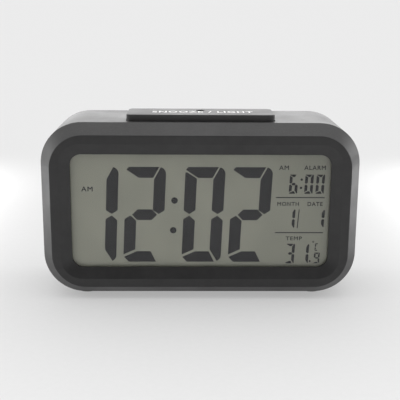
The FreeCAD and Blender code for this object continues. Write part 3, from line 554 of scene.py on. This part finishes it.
def lcd_figure(name, sign, left, foot, width, height, upright, level, gap, corner):
    """One seven-segment figure, its sizes in metres from its lower left."""
    middle = height / 2 + level * 0.02
    half_level = level / 2
    tip = upright * 0.56  # how far in each upright comes to its point
    half_gap = gap / 2
    parts = {
        "a": (
            (0.0, width, height - level, height),
            (
                ((upright, height - level + half_gap), (-0.55, -0.84)),
                ((corner * 0.6, height), (-0.75, 0.66)),
                ((width - upright - half_gap, height - level), (0.89, -0.45)),
            ),
        ),
        "f": (
            (0.0, upright, middle + half_gap, height - level * 0.5),
            (
                ((upright, height - level - half_gap), (0.55, 0.84)),
                ((tip - half_gap, middle + half_gap), (-0.55, -0.84)),
                ((tip - half_gap, middle + half_gap), (0.55, -0.84)),
            ),
        ),
        "b": (
            (width - upright, width, middle + half_gap, height),
            (
                ((width - upright + half_gap, height - level), (-0.89, 0.45)),
                *rounded(width, height, corner * 1.6, 1.0),
                ((width - tip + half_gap, middle + half_gap), (0.55, -0.84)),
                ((width - tip + half_gap, middle + half_gap), (-0.55, -0.84)),
            ),
        ),
        "g": (
            (tip, width - tip, middle - half_level, middle + half_level),
            (
                ((tip + half_gap, middle), (-0.72, 0.70)),
                ((tip + half_gap, middle), (-0.72, -0.70)),
                ((width - tip - half_gap, middle), (0.72, 0.70)),
                ((width - tip - half_gap, middle), (0.72, -0.70)),
            ),
        ),
        "e": (
            (0.0, upright, level * 0.3, middle - half_gap),
            (
                ((upright, level + half_gap + level * 0.12), (0.42, -0.90)),
                ((tip - half_gap, middle - half_gap), (-0.55, 0.84)),
                ((tip - half_gap, middle - half_gap), (0.66, 0.75)),
            ),
        ),
        "c": (
            (width - upright, width, 0.0, middle - half_gap),
            (
                ((width - upright + half_gap, level + half_gap), (-0.84, -0.54)),
                *rounded(width, 0.0, corner * 1.5, -1.0),
                ((width - tip + half_gap, middle - half_gap), (0.66, 0.75)),
                ((width - tip + half_gap, middle - half_gap), (-0.55, 0.84)),
            ),
        ),
        "d": (
            (0.0, width, 0.0, level),
            (
                ((upright, level - half_gap), (-0.42, 0.90)),
                ((corner * 0.6, corner * 0.6), (-0.72, -0.70)),
                ((width - upright - half_gap, level), (0.88, 0.47)),
            ),
        ),
    }
    bars = [
        lcd_bar(*parts[letter][0], parts[letter][1]) for letter in segments_lit[sign]
    ]
    only_select(*bars)
    bpy.ops.object.join()
    figure = bpy.context.object
    figure.name = name
    figure.data.transform(
        Matrix(
            (
                (1.0, 0.0, figure_lean, left),
                (0.0, 1.0, 0.0, figure_front),
                (0.0, 0.0, 1.0, foot),
                (0.0, 0.0, 0.0, 1.0),
            )
        )
    )
    return lcd_piece(figure)


def lcd_piece(piece):
    """A shape on the crystal: dark, and fixed in the clock."""
    piece.data.materials.clear()
    piece.data.materials.append(figure_dark)
    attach(piece, "clock")
    return piece


time_foot = window_middle_z - 0.0229
time_pitch = 0.0201
time_left = window_middle_x - 0.0535
colon_room = 0.0051
for order, (title, sign) in enumerate(
    (
        ("hours_tens", "1"),
        ("hours_units", "2"),
        ("minutes_tens", "0"),
        ("minutes_units", "2"),
    )
):
    lcd_figure(
        title,
        sign,
        time_left + order * time_pitch + (colon_room if order > 1 else 0.0),
        time_foot,
        width=0.0170,
        height=0.0420,
        upright=0.0050,
        level=0.0047,
        gap=0.0007,
        corner=0.0020,
    )


def lcd_dot(name, across, up, radius):
    """A round dot on the crystal, its rim slightly broken."""
    only_select()
    bpy.ops.mesh.primitive_cylinder_add(
        vertices=32,
        radius=radius,
        depth=figure_depth,
        location=(across, figure_front + figure_depth / 2, up),
        rotation=(math.pi / 2, 0.0, 0.0),
    )
    bpy.ops.object.transform_apply(location=True, rotation=True, scale=True)
    dot = bpy.context.object
    dot.name = name
    edge = dot.modifiers.new("rim", "BEVEL")
    edge.width = figure_depth * 0.3
    edge.segments = 1
    bpy.ops.object.modifier_apply(modifier="rim")
    return lcd_piece(dot)


colon_x = window_middle_x - 0.0114
lcd_dot("colon_upper", colon_x + 0.0003, window_middle_z + 0.0045, 0.0014)
lcd_dot("colon_lower", colon_x - 0.0003, window_middle_z - 0.0087, 0.0014)

small_sizes = {"upright": 0.00122, "level": 0.00108, "gap": 0.00032, "corner": 0.0003}
alarm_foot = window_middle_z + 0.0076
for title, sign, across in (
    ("alarm_hours", "6", 0.0376),
    ("alarm_minutes_tens", "0", 0.0442),
    ("alarm_minutes_units", "0", 0.0490),
):
    lcd_figure(
        title,
        sign,
        window_middle_x + across,
        alarm_foot,
        width=0.0036,
        height=0.0084,
        **small_sizes,
    )
lcd_dot(
    "alarm_colon_upper", window_middle_x + 0.0430, window_middle_z + 0.0138, 0.00052
)
lcd_dot(
    "alarm_colon_lower", window_middle_x + 0.0428, window_middle_z + 0.0102, 0.00052
)
for title, sign, across, foot, height in (
    ("month_figure", "1", 0.0368, -0.0076, 0.0083),
    ("date_figure", "1", 0.0495, -0.0073, 0.0078),
    ("degrees_tens", "3", 0.0371, -0.0236, 0.0089),
    ("degrees_units", "1", 0.0433, -0.0235, 0.0086),
):
    lcd_figure(
        title,
        sign,
        window_middle_x + across,
        window_middle_z + foot,
        width=0.0037,
        height=height,
        **small_sizes,
    )
lcd_figure(
    "degrees_tenths",
    "9",
    window_middle_x + 0.0494,
    window_middle_z - 0.0236,
    width=0.0025,
    height=0.0049,
    upright=0.00072,
    level=0.00066,
    gap=0.00022,
    corner=0.0002,
)
lcd_figure(
    "celsius",
    "C",
    window_middle_x + 0.0497,
    window_middle_z - 0.0179,
    width=0.0016,
    height=0.0034,
    upright=0.00052,
    level=0.00048,
    gap=0.00018,
    corner=0.0002,
)
lcd_dot("decimal_point", window_middle_x + 0.0478, window_middle_z - 0.0226, 0.00043)


def lcd_rule(name, left, right, foot, top, lean=0.0):
    """A ruled line on the crystal, tapered at its ends."""
    trim = min(right - left, top - foot) * 0.3
    bar = lcd_bar(
        left,
        right,
        foot,
        top,
        (
            ((left, top - trim), (-0.7, 0.7)),
            ((right, top - trim), (0.7, 0.7)),
            ((left, foot + trim), (-0.7, -0.7)),
            ((right, foot + trim), (0.7, -0.7)),
        ),
    )
    bar.name = name
    bar.data.transform(
        Matrix(
            (
                (1.0, 0.0, lean, -lean * foot),
                (0.0, 1.0, 0.0, figure_front),
                (0.0, 0.0, 1.0, 0.0),
                (0.0, 0.0, 0.0, 1.0),
            )
        )
    )
    return lcd_piece(bar)


rule_left = window_middle_x + 0.0322
rule_right = window_middle_x + 0.0531
for title, up in (("rule_upper", 0.0059), ("rule_lower", -0.0097)):
    lcd_rule(
        title,
        rule_left,
        rule_right,
        window_middle_z + up - 0.00021,
        window_middle_z + up + 0.00021,
    )
lcd_rule(
    "date_divider",
    window_middle_x + 0.0416,
    window_middle_x + 0.0420,
    window_middle_z - 0.0077,
    window_middle_z + 0.0007,
    lean=0.07,
)


def word(name, text, middle, width, height, depth, facing, weight=0.022):
    """A word of that width and height, its face looking front, up or back, and
    its strokes thickened on each side by a share of the letter size."""
    only_select()
    bpy.ops.object.text_add()
    written = bpy.context.object
    written.name = name
    written.data.body = text
    written.data.extrude = 0.5
    written.data.space_character = 1.18
    written.data.resolution_u = 4
    bpy.ops.object.convert(target="MESH")
    bpy.ops.object.mode_set(mode="EDIT")
    bpy.ops.mesh.select_all(action="SELECT")
    bpy.ops.mesh.remove_doubles(threshold=0.003)
    bpy.ops.mesh.normals_make_consistent(inside=False)
    bpy.ops.transform.shrink_fatten(value=weight, use_even_offset=True)
    bpy.ops.object.mode_set(mode="OBJECT")
    low = [min(v.co[axis] for v in written.data.vertices) for axis in range(3)]
    high = [max(v.co[axis] for v in written.data.vertices) for axis in range(3)]
    written.data.transform(
        Matrix.Translation([-(low[axis] + high[axis]) / 2 for axis in range(3)])
    )
    written.scale = (
        width / (high[0] - low[0]),
        height / (high[1] - low[1]),
        depth / (high[2] - low[2]),
    )
    written.rotation_euler = {
        "up": (0.0, 0.0, 0.0),
        "front": (math.pi / 2, 0.0, 0.0),
        "back": (math.pi / 2, 0.0, math.pi),
    }[facing]
    written.location = middle
    bpy.ops.object.transform_apply(location=True, rotation=True, scale=True)
    return written


label_middle_y = figure_front + figure_depth / 2
for title, text, left, right, foot, top in (
    ("label_am_alarm", "AM", 0.0332, 0.0374, 0.0180, 0.0199),
    ("label_alarm", "ALARM", 0.0439, 0.0531, 0.0180, 0.0199),
    ("label_am_time", "AM", -0.0508, -0.0459, 0.0084, 0.0105),
    ("label_month", "MONTH", 0.0329, 0.0422, 0.0022, 0.0040),
    ("label_date", "DATE", 0.0459, 0.0524, 0.0022, 0.0040),
    ("label_temp", "TEMP", 0.0370, 0.0440, -0.0131, -0.0114),
):
    lcd_piece(
        word(
            title,
            text,
            (
                window_middle_x + (left + right) / 2,
                label_middle_y,
                window_middle_z + (foot + top) / 2,
            ),
            right - left,
            top - foot,
            figure_depth,
            "front",
        )
    )

# the degree sign is a small flat ring
only_select()
bpy.ops.mesh.primitive_circle_add(
    vertices=24,
    radius=0.00042,
    fill_type="NGON",
    location=(window_middle_x + 0.0490, figure_front, window_middle_z - 0.0138),
    rotation=(math.pi / 2, 0.0, 0.0),
)
bpy.ops.object.transform_apply(location=True, rotation=True, scale=True)
degree_ring = bpy.context.object
degree_ring.name = "degree_ring"
bpy.ops.object.mode_set(mode="EDIT")
bpy.ops.mesh.select_all(action="SELECT")
bpy.ops.mesh.inset(thickness=0.0002)
bpy.ops.mesh.delete(type="FACE")
bpy.ops.mesh.select_all(action="SELECT")
bpy.ops.mesh.extrude_region_move(
    TRANSFORM_OT_translate={"value": (0.0, figure_depth, 0.0)}
)
bpy.ops.mesh.select_all(action="SELECT")
bpy.ops.mesh.normals_make_consistent(inside=False)
bpy.ops.object.mode_set(mode="OBJECT")
lcd_piece(degree_ring)

# ---------------------------------------------------------------- display lens
# A flat plate of clear acrylic, glued behind the bezel's opening. Its face is
# polished, with the faint hairlines of wiping.
lens_clear = clear_sheet("lens_clear", (0.97, 0.97, 0.965), 0.015, 1.36, 0.02)
finish_nodes(lens_clear, "display_lens")

# ---------------------------------------------------------------- snooze bar
# A long push bar of satin black ABS stands on two springs and one switch.
# Its legend is printed in white, and a smoked window lets the room's light
# reach a sensor under it.
bar_black = moulding(
    "bar_black",
    (0.016, 0.016, 0.0163),
    0.51,
    3600.0,
    0.000012,
    0.4,
    Specular_IOR_Level=0.8,
)
finish_nodes(bar_black, "snooze_bar")

smoked_window = moulding(
    "smoked_window",
    (0.006, 0.005, 0.006),
    0.10,
    5200.0,
    0.000003,
    0.1,
    Coat_Weight=0.5,
)
finish_nodes(smoked_window, "sensor_window")

# printed ink: white, slightly broken up where it is rubbed
printed_white, tree, shader, place = blank_material("printed_white")
worn = noise(tree, place, 2600.0, 4.0, 0.7)
tree.links.new(
    blend_colours(
        tree,
        fit(tree, worn, 0.55, 0.8, 0.0, 0.5),
        (0.84, 0.84, 0.82),
        (0.30, 0.30, 0.30),
    ),
    shader.inputs["Base Color"],
)
tree.links.new(fit(tree, worn, 0.3, 0.7, 0.5, 0.62), shader.inputs["Roughness"])
relief(tree, shader, worn, 0.000008)


def printed(piece, body):
    """Ink on a surface, moving with that body."""
    piece.data.materials.clear()
    piece.data.materials.append(printed_white)
    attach(piece, body)
    return piece


bar_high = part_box("snooze_bar")[1]
ink_depth = 0.00004
printed(
    word(
        "snooze_legend",
        "SNOOZE / LIGHT",
        (0.0009, -0.0034, bar_high.z + ink_depth * 0.1),
        0.0437,
        0.0047,
        ink_depth,
        "up",
        weight=0.025,
    ),
    "snooze_bar_body",
)

spring_steel = metal("spring_steel", (0.55, 0.55, 0.54), 0.25)
spring_low, spring_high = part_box("snooze_springs")
spring_wire = 0.00022
spring_turns = 8
spring_reach = (spring_high.y - spring_low.y) / 2 - spring_wire
spring_pitch = (spring_high.z - spring_low.z) / spring_turns
coils = []
for post_x in (
    spring_low.x + spring_reach + spring_wire,
    spring_high.x - spring_reach - spring_wire,
):
    only_select()
    bpy.ops.mesh.primitive_circle_add(
        vertices=10,
        radius=spring_wire,
        location=(spring_reach, 0.0, -spring_pitch / 2),
        rotation=(math.pi / 2, 0.0, 0.0),
    )
    coil = bpy.context.object
    bpy.ops.object.transform_apply(location=True, rotation=True, scale=True)
    winding = coil.modifiers.new("winding", "SCREW")
    winding.axis = "Z"
    winding.steps = 32
    winding.render_steps = 32
    winding.iterations = spring_turns + 1
    winding.screw_offset = spring_pitch
    bpy.ops.object.modifier_apply(modifier="winding")
    coil.location = (post_x, (spring_low.y + spring_high.y) / 2, spring_low.z)
    bpy.ops.object.transform_apply(location=True, rotation=False, scale=False)
    bpy.ops.object.mode_set(mode="EDIT")
    # both ends are ground flat
    for end, way in ((spring_low.z, -1.0), (spring_high.z, 1.0)):
        bpy.ops.mesh.select_all(action="SELECT")
        bpy.ops.mesh.bisect(
            plane_co=(post_x, 0.0, end),
            plane_no=(0.0, 0.0, way),
            use_fill=True,
            clear_outer=True,
            threshold=1e-7,
        )
    bpy.ops.mesh.select_all(action="SELECT")
    bpy.ops.mesh.quads_convert_to_tris(quad_method="BEAUTY", ngon_method="BEAUTY")
    bpy.ops.mesh.normals_make_consistent(inside=False)
    bpy.ops.object.mode_set(mode="OBJECT")
    bpy.ops.object.shade_smooth_by_angle(angle=math.radians(50))
    coils.append(coil)
only_select(*coils)
bpy.ops.object.join()
bar_springs = bpy.context.object
bar_springs.name = "bar_springs"
bar_springs.data.materials.append(spring_steel)
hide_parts("snooze_springs")
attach(bar_springs, "clock")
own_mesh(bar_springs)
finish_nodes(spring_steel, "contact_springs")

# ---------------------------------------------------------------- boards
# Three glass-fibre boards carry the circuit. Copper tracks show as lighter
# lines under the green lacquer. Chips, capacitors, a crystal and the black
# drop over the bare controller die sit on them.
laminate, start, end = node_group(
    "laminate",
    [
        ("Vector", "NodeSocketVector", None),
        ("Lacquer", "NodeSocketColor", (0.01, 0.09, 0.03, 1.0)),
        ("Track", "NodeSocketColor", (0.03, 0.19, 0.06, 1.0)),
    ],
    [
        ("Colour", "NodeSocketColor"),
        ("Height", "NodeSocketFloat"),
    ],
)
track_cells = laminate.nodes.new("ShaderNodeTexVoronoi")
track_cells.feature = "DISTANCE_TO_EDGE"
track_cells.inputs["Scale"].default_value = 230.0
laminate.links.new(start.outputs["Vector"], track_cells.inputs["Vector"])
track = fit(laminate, track_cells.outputs["Distance"], 0.05, 0.09, 1.0, 0.0)
weave = noise(laminate, start.outputs["Vector"], 2400.0, 2.0, 0.4)
lacquer = blend_colours(
    laminate,
    fit(laminate, weave, 0.3, 0.7, 0.0, 0.25),
    start.outputs["Lacquer"],
    (0.004, 0.035, 0.012),
)
laminate.links.new(
    blend_colours(laminate, track, lacquer, start.outputs["Track"]),
    end.inputs["Colour"],
)
laminate.links.new(track, end.inputs["Height"])

board_green, tree, shader, place = blank_material("board_green")
copper = use_group(tree, laminate, place)
tree.links.new(copper.outputs["Colour"], shader.inputs["Base Color"])
tree.links.new(
    fit(tree, noise(tree, place, 700.0), 0.3, 0.7, 0.24, 0.36),
    shader.inputs["Roughness"],
)
shader.inputs["Coat Weight"].default_value = 0.4
relief(tree, shader, copper.outputs["Height"], 0.00002)
finish_nodes(board_green, "main_board", "top_board", "key_board")

black_resin = moulding(
    "black_resin", (0.010, 0.010, 0.011), 0.33, 2600.0, 0.000015, 0.1
)
finish_nodes(black_resin, "controller_cap", "board_chips")

# capacitor cans wear a printed shrink sleeve, with a pale stripe for minus
capacitor_sleeve, tree, shader, place = blank_material("capacitor_sleeve")
stripe = tree.nodes.new("ShaderNodeTexWave")
stripe.bands_direction = "Z"
stripe.inputs["Scale"].default_value = 120.0
tree.links.new(place, stripe.inputs["Vector"])
tree.links.new(
    blend_colours(
        tree,
        fit(tree, stripe.outputs["Fac"], 0.9, 0.96, 0.0, 1.0),
        (0.012, 0.016, 0.05),
        (0.45, 0.47, 0.50),
    ),
    shader.inputs["Base Color"],
)
tree.links.new(
    fit(tree, noise(tree, place, 900.0), 0.3, 0.7, 0.25, 0.4),
    shader.inputs["Roughness"],
)
finish_nodes(capacitor_sleeve, "board_capacitors")
finish_nodes(white_plastic, "top_header")
switch_case = moulding(
    "switch_case", (0.016, 0.016, 0.017), 0.4, 3000.0, 0.000015, 0.1
)
finish_nodes(switch_case, "snooze_switch_case", "key_switch_cases", "slide_switch_cases")
switch_plunger = moulding(
    "switch_plunger", (0.55, 0.50, 0.36), 0.38, 3000.0, 0.00001, 0.0
)
finish_nodes(
    switch_plunger,
    "snooze_switch_plunger",
    "mode_switch_plunger",
    "set_switch_plunger",
    "up_switch_plunger",
    "down_switch_plunger",
    "alarm_switch_plunger",
)

# the light sensor is a clear resin lens over a comb of cadmium sulphide
photocell, tree, shader, place = blank_material("photocell")
comb = tree.nodes.new("ShaderNodeTexWave")
comb.bands_direction = "X"
comb.inputs["Scale"].default_value = 420.0
comb.inputs["Distortion"].default_value = 1.5
tree.links.new(place, comb.inputs["Vector"])
tree.links.new(
    blend_colours(tree, comb.outputs["Fac"], (0.42, 0.16, 0.05), (0.62, 0.55, 0.40)),
    shader.inputs["Base Color"],
)
tree.links.new(
    fit(tree, comb.outputs["Fac"], 0.0, 1.0, 0.2, 0.35), shader.inputs["Roughness"]
)
shader.inputs["Coat Weight"].default_value = 0.8
finish_nodes(photocell, "light_sensor")

# ---------------------------------------------------------------- keys and slide knobs
# Five round push keys and two slide knobs stand in a sunk panel in the back.
# They are black ABS, a shade glossier than the casing. Each one's use is
# printed beside it in white.
key_black = moulding("key_black", (0.014, 0.014, 0.015), 0.34, 3400.0, 0.000012, 0.3)
finish_nodes(
    key_black,
    "mode_key",
    "set_key",
    "up_key",
    "down_key",
    "alarm_key",
    "alarm_switch_slider",
    "sensor_switch_slider",
)

panel_floor = 0.0216
legend_up = 0.00555
key_weight = 0.01
half_slide = 0.00125
for node, text, width in (
    ("mode_key", "MODE", 0.0062),
    ("set_key", "SET", 0.0042),
    ("up_key", "UP", 0.0028),
    ("down_key", "DOWN", 0.0064),
    ("alarm_key", "ALARM", 0.0070),
):
    key_low, key_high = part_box(node)
    printed(
        word(
            node.replace("_key", "_legend"),
            text,
            (
                (key_low.x + key_high.x) / 2,
                panel_floor + ink_depth * 0.1,
                (key_low.z + key_high.z) / 2 + legend_up,
            ),
            width,
            0.0016,
            ink_depth,
            "back",
            weight=key_weight,
        ),
        "clock",
    )
for node, title, text in (
    ("alarm_switch_slider", "alarm_switch", "ALARM"),
    ("sensor_switch_slider", "sensor_switch", "SENSOR"),
):
    knob_low, knob_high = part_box(node)
    slot_middle = (knob_low.x + knob_high.x) / 2 + half_slide
    knob_z = (knob_low.z + knob_high.z) / 2
    printed(
        word(
            title + "_legend",
            text,
            (slot_middle, panel_floor + ink_depth * 0.1, knob_z + legend_up),
            0.0070 if text == "ALARM" else 0.0080,
            0.0016,
            ink_depth,
            "back",
            weight=key_weight,
        ),
        "clock",
    )
    for way, state in ((-1.0, "ON"), (1.0, "OFF")):
        printed(
            word(
                title + "_" + state.lower(),
                state,
                (
                    slot_middle + way * 0.0030,
                    panel_floor + ink_depth * 0.1,
                    knob_z - 0.0034,
                ),
                0.0020 if state == "ON" else 0.0028,
                0.0012,
                ink_depth,
                "back",
                weight=key_weight,
            ),
            "clock",
        )

# ---------------------------------------------------------------- battery bay
# Three AAA cells lie head to tail between nickel-plated contacts. Each cell
# is a steel can in a printed shrink sleeve, its positive button at one end.
cell_sleeve, tree, shader, place = blank_material("cell_sleeve")
along = tree.nodes.new("ShaderNodeSeparateXYZ")
tree.links.new(place, along.inputs["Vector"])
scuffs = noise(tree, place, 1100.0, 4.0, 0.7)
tree.links.new(
    blend_colours(
        tree,
        fit(tree, scuffs, 0.55, 0.8, 0.0, 0.35),
        (0.018, 0.070, 0.042),
        (0.20, 0.24, 0.20),
    ),
    shader.inputs["Base Color"],
)
tree.links.new(fit(tree, scuffs, 0.3, 0.7, 0.24, 0.38), shader.inputs["Roughness"])
shader.inputs["Coat Weight"].default_value = 0.6
relief(tree, shader, scuffs, 0.000006)

sleeve_band = metal("sleeve_band", (0.70, 0.55, 0.33), 0.24, (9000.0, 300.0, 300.0), 0.1)
nickel_plate = metal("nickel_plate", (0.66, 0.63, 0.57), 0.22)
finish_nodes(
    nickel_plate,
    "positive_terminal",
    "negative_terminal",
    "left_link_contact",
    "right_link_contact",
)


def face_at(piece, across):
    """Selects only the faces whose middle lies that far across."""
    bpy.ops.object.mode_set(mode="OBJECT")
    for polygon in piece.data.polygons:
        polygon.select = abs(polygon.center.x - across) < 1e-6
    for edge in piece.data.edges:
        edge.select = False
    for vertex in piece.data.vertices:
        vertex.select = False
    for polygon in piece.data.polygons:
        if polygon.select:
            for index in polygon.vertices:
                piece.data.vertices[index].select = True
    bpy.ops.object.mode_set(mode="EDIT")
    bpy.ops.mesh.select_mode(type="FACE")


button_height = 0.0010
button_radius = 0.0021
sleeve_lip = 0.0007
band_length = 0.0115
band_line = 0.0007


def battery_cell(node):
    """A sleeved cell that fills its CAD solid, button end where that has it."""
    low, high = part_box(node)
    radius = (high.z - low.z) / 2
    middle = (low + high) / 2
    way = -1.0 if middle.x < 0.0 else 1.0
    body_length = high.x - low.x - button_height
    body_middle = middle.x - way * button_height / 2
    only_select()
    bpy.ops.mesh.primitive_cylinder_add(
        vertices=48,
        radius=radius,
        depth=body_length,
        location=(body_middle, middle.y, middle.z),
        rotation=(0.0, math.pi / 2, 0.0),
    )
    cell = bpy.context.object
    bpy.ops.object.transform_apply(location=True, rotation=True, scale=True)
    cell.name = node + "_sleeved"
    head = body_middle + way * body_length / 2
    tail = body_middle - way * body_length / 2
    band_start = head - way * band_length
    # the sleeve's band near the button end is cut in
    bpy.ops.object.mode_set(mode="EDIT")
    for cut in (band_start, band_start - way * band_line):
        bpy.ops.mesh.select_all(action="SELECT")
        bpy.ops.mesh.bisect(plane_co=(cut, 0.0, 0.0), plane_no=(1.0, 0.0, 0.0))
    face_at(cell, head)
    bpy.ops.mesh.inset(thickness=sleeve_lip, depth=-0.0001)
    bpy.ops.mesh.inset(thickness=radius - sleeve_lip - button_radius, depth=0.0)
    bpy.ops.mesh.extrude_region_move(
        TRANSFORM_OT_translate={"value": (way * (button_height + 0.00005), 0.0, 0.0)}
    )
    bpy.ops.mesh.inset(thickness=0.0003, depth=0.00005)
    face_at(cell, tail)
    bpy.ops.mesh.inset(thickness=sleeve_lip, depth=-0.0001)
    bpy.ops.mesh.inset(thickness=0.0012, depth=0.0)
    bpy.ops.mesh.inset(thickness=0.0003, depth=0.0001)
    bpy.ops.object.mode_set(mode="OBJECT")
    for finish in (cell_sleeve, nickel_plate, sleeve_band):
        cell.data.materials.append(finish)
    for polygon in cell.data.polygons:
        centre = polygon.center
        off_axis = math.hypot(centre.y - middle.y, centre.z - middle.z)
        if off_axis < radius * 0.985 and abs(polygon.normal.x) > 0.3:
            polygon.material_index = 1 if off_axis < radius - sleeve_lip else 0
        elif off_axis < radius * 0.7:
            polygon.material_index = 1
        elif (centre.x - band_start) * way > 0.0:
            polygon.material_index = 2
    edge = cell.modifiers.new("rolled_edge", "BEVEL")
    edge.width = 0.00025
    edge.segments = 3
    edge.limit_method = "ANGLE"
    edge.angle_limit = math.radians(50)
    only_select(cell)
    bpy.ops.object.modifier_apply(modifier="rolled_edge")
    bpy.ops.object.shade_smooth_by_angle(angle=math.radians(40))
    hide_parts(node)
    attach(cell, "clock")
    return cell


for node in ("battery_cell_upper", "battery_cell_middle", "battery_cell_lower"):
    battery_cell(node)

# ---------------------------------------------------------------- sounder and leads
# A brass disc with a fired ceramic layer is glued behind the grille. A bead
# thermistor stands behind the vent slots. PVC-covered wires join the boards.
finish_nodes(
    metal("sounder_brass", (0.78, 0.56, 0.24), 0.26, (4000.0, 400.0, 4000.0), 0.3),
    "buzzer_disc",
)
finish_nodes(
    moulding("sounder_ceramic", (0.55, 0.54, 0.50), 0.5, 5200.0, 0.00001, 0.0),
    "buzzer_ceramic",
)
finish_nodes(black_resin, "temperature_sensor")
wire_red = moulding("wire_red", (0.36, 0.012, 0.010), 0.36, 1800.0, 0.00001, 0.2)
wire_black = moulding("wire_black", (0.012, 0.012, 0.012), 0.36, 1800.0, 0.00001, 0.2)
wire_grey = moulding("wire_grey", (0.20, 0.20, 0.20), 0.4, 1800.0, 0.00001, 0.2)
finish_nodes(wire_red, "battery_lead_red")
finish_nodes(wire_black, "battery_lead_black")
finish_nodes(wire_grey, "buzzer_leads", "key_ribbon")

# ---------------------------------------------------------------- studio
# The clock stands on a pale seamless floor. Soft light comes from all round,
# stronger from the sides and from behind. Three low softboxes light the floor
# beside the clock and before it.
only_select()
bpy.ops.mesh.primitive_circle_add(
    vertices=96, radius=80.0, fill_type="NGON", location=(0.0, 0.0, 0.0)
)
floor = bpy.context.object
floor.name = "studio_floor"
studio_paper, tree, shader, place = blank_material("studio_paper")
fibre = noise(tree, place, 400.0, 3.0, 0.6)
tree.links.new(
    blend_colours(
        tree,
        fit(tree, fibre, 0.3, 0.7, 0.0, 1.0),
        (0.385, 0.385, 0.385),
        (0.395, 0.395, 0.395),
    ),
    shader.inputs["Base Color"],
)
shader.inputs["Roughness"].default_value = 1.0
shader.inputs["Specular IOR Level"].default_value = 0.0
shader.inputs["Emission Color"].default_value = (1.0, 1.0, 1.0, 1.0)
shader.inputs["Emission Strength"].default_value = 0.385
floor.data.materials.append(studio_paper)

for place, size, energy in (
    ((-0.32, 0.07, 0.13), (0.30, 0.32), 1.35),
    ((0.32, 0.07, 0.13), (0.30, 0.32), 1.35),
    ((0.0, -0.13, 0.16), (0.44, 0.10), 0.03),
):
    box_data = bpy.data.lights.new("low_softbox", "AREA")
    box_data.shape = "RECTANGLE"
    box_data.size = size[0]
    box_data.size_y = size[1]
    box_data.energy = energy
    box_data.spread = math.radians(80)
    softbox = bpy.data.objects.new("low_softbox", box_data)
    bpy.context.scene.collection.objects.link(softbox)
    softbox.location = place
    softbox.visible_camera = False

world = bpy.data.worlds.new("studio_light")
bpy.context.scene.world = world
world.use_nodes = True
tree = world.node_tree
direction = tree.nodes.new("ShaderNodeTexCoord")
parts = tree.nodes.new("ShaderNodeSeparateXYZ")
tree.links.new(direction.outputs["Generated"], parts.inputs["Vector"])
sideways = reckon(tree, "ABSOLUTE", parts.outputs["X"], 0.0)
front_light = fit(tree, parts.outputs["Y"], -0.85, 0.05, 0.16, 0.95)
side_light = reckon(
    tree,
    "MULTIPLY",
    reckon(
        tree,
        "MULTIPLY",
        fit(tree, sideways, 0.62, 0.86, 0.0, 1.6),
        fit(tree, parts.outputs["Y"], -0.15, 0.30, 0.25, 1.0),
    ),
    fit(tree, parts.outputs["Z"], 0.15, 0.60, 1.0, 0.15),
)
back_light = fit(tree, parts.outputs["Y"], 0.55, 0.97, 0.0, 1.8)
overhead_light = fit(tree, parts.outputs["Z"], 0.5, 0.95, 0.0, 0.45)
strength = reckon(
    tree,
    "ADD",
    reckon(tree, "ADD", front_light, side_light),
    reckon(tree, "ADD", back_light, overhead_light),
)
tree.links.new(strength, tree.nodes["Background"].inputs["Strength"])
tree.nodes["Background"].inputs["Color"].default_value = (1.0, 1.0, 1.0, 1.0)
bpy.context.scene.view_settings.view_transform = "Standard"
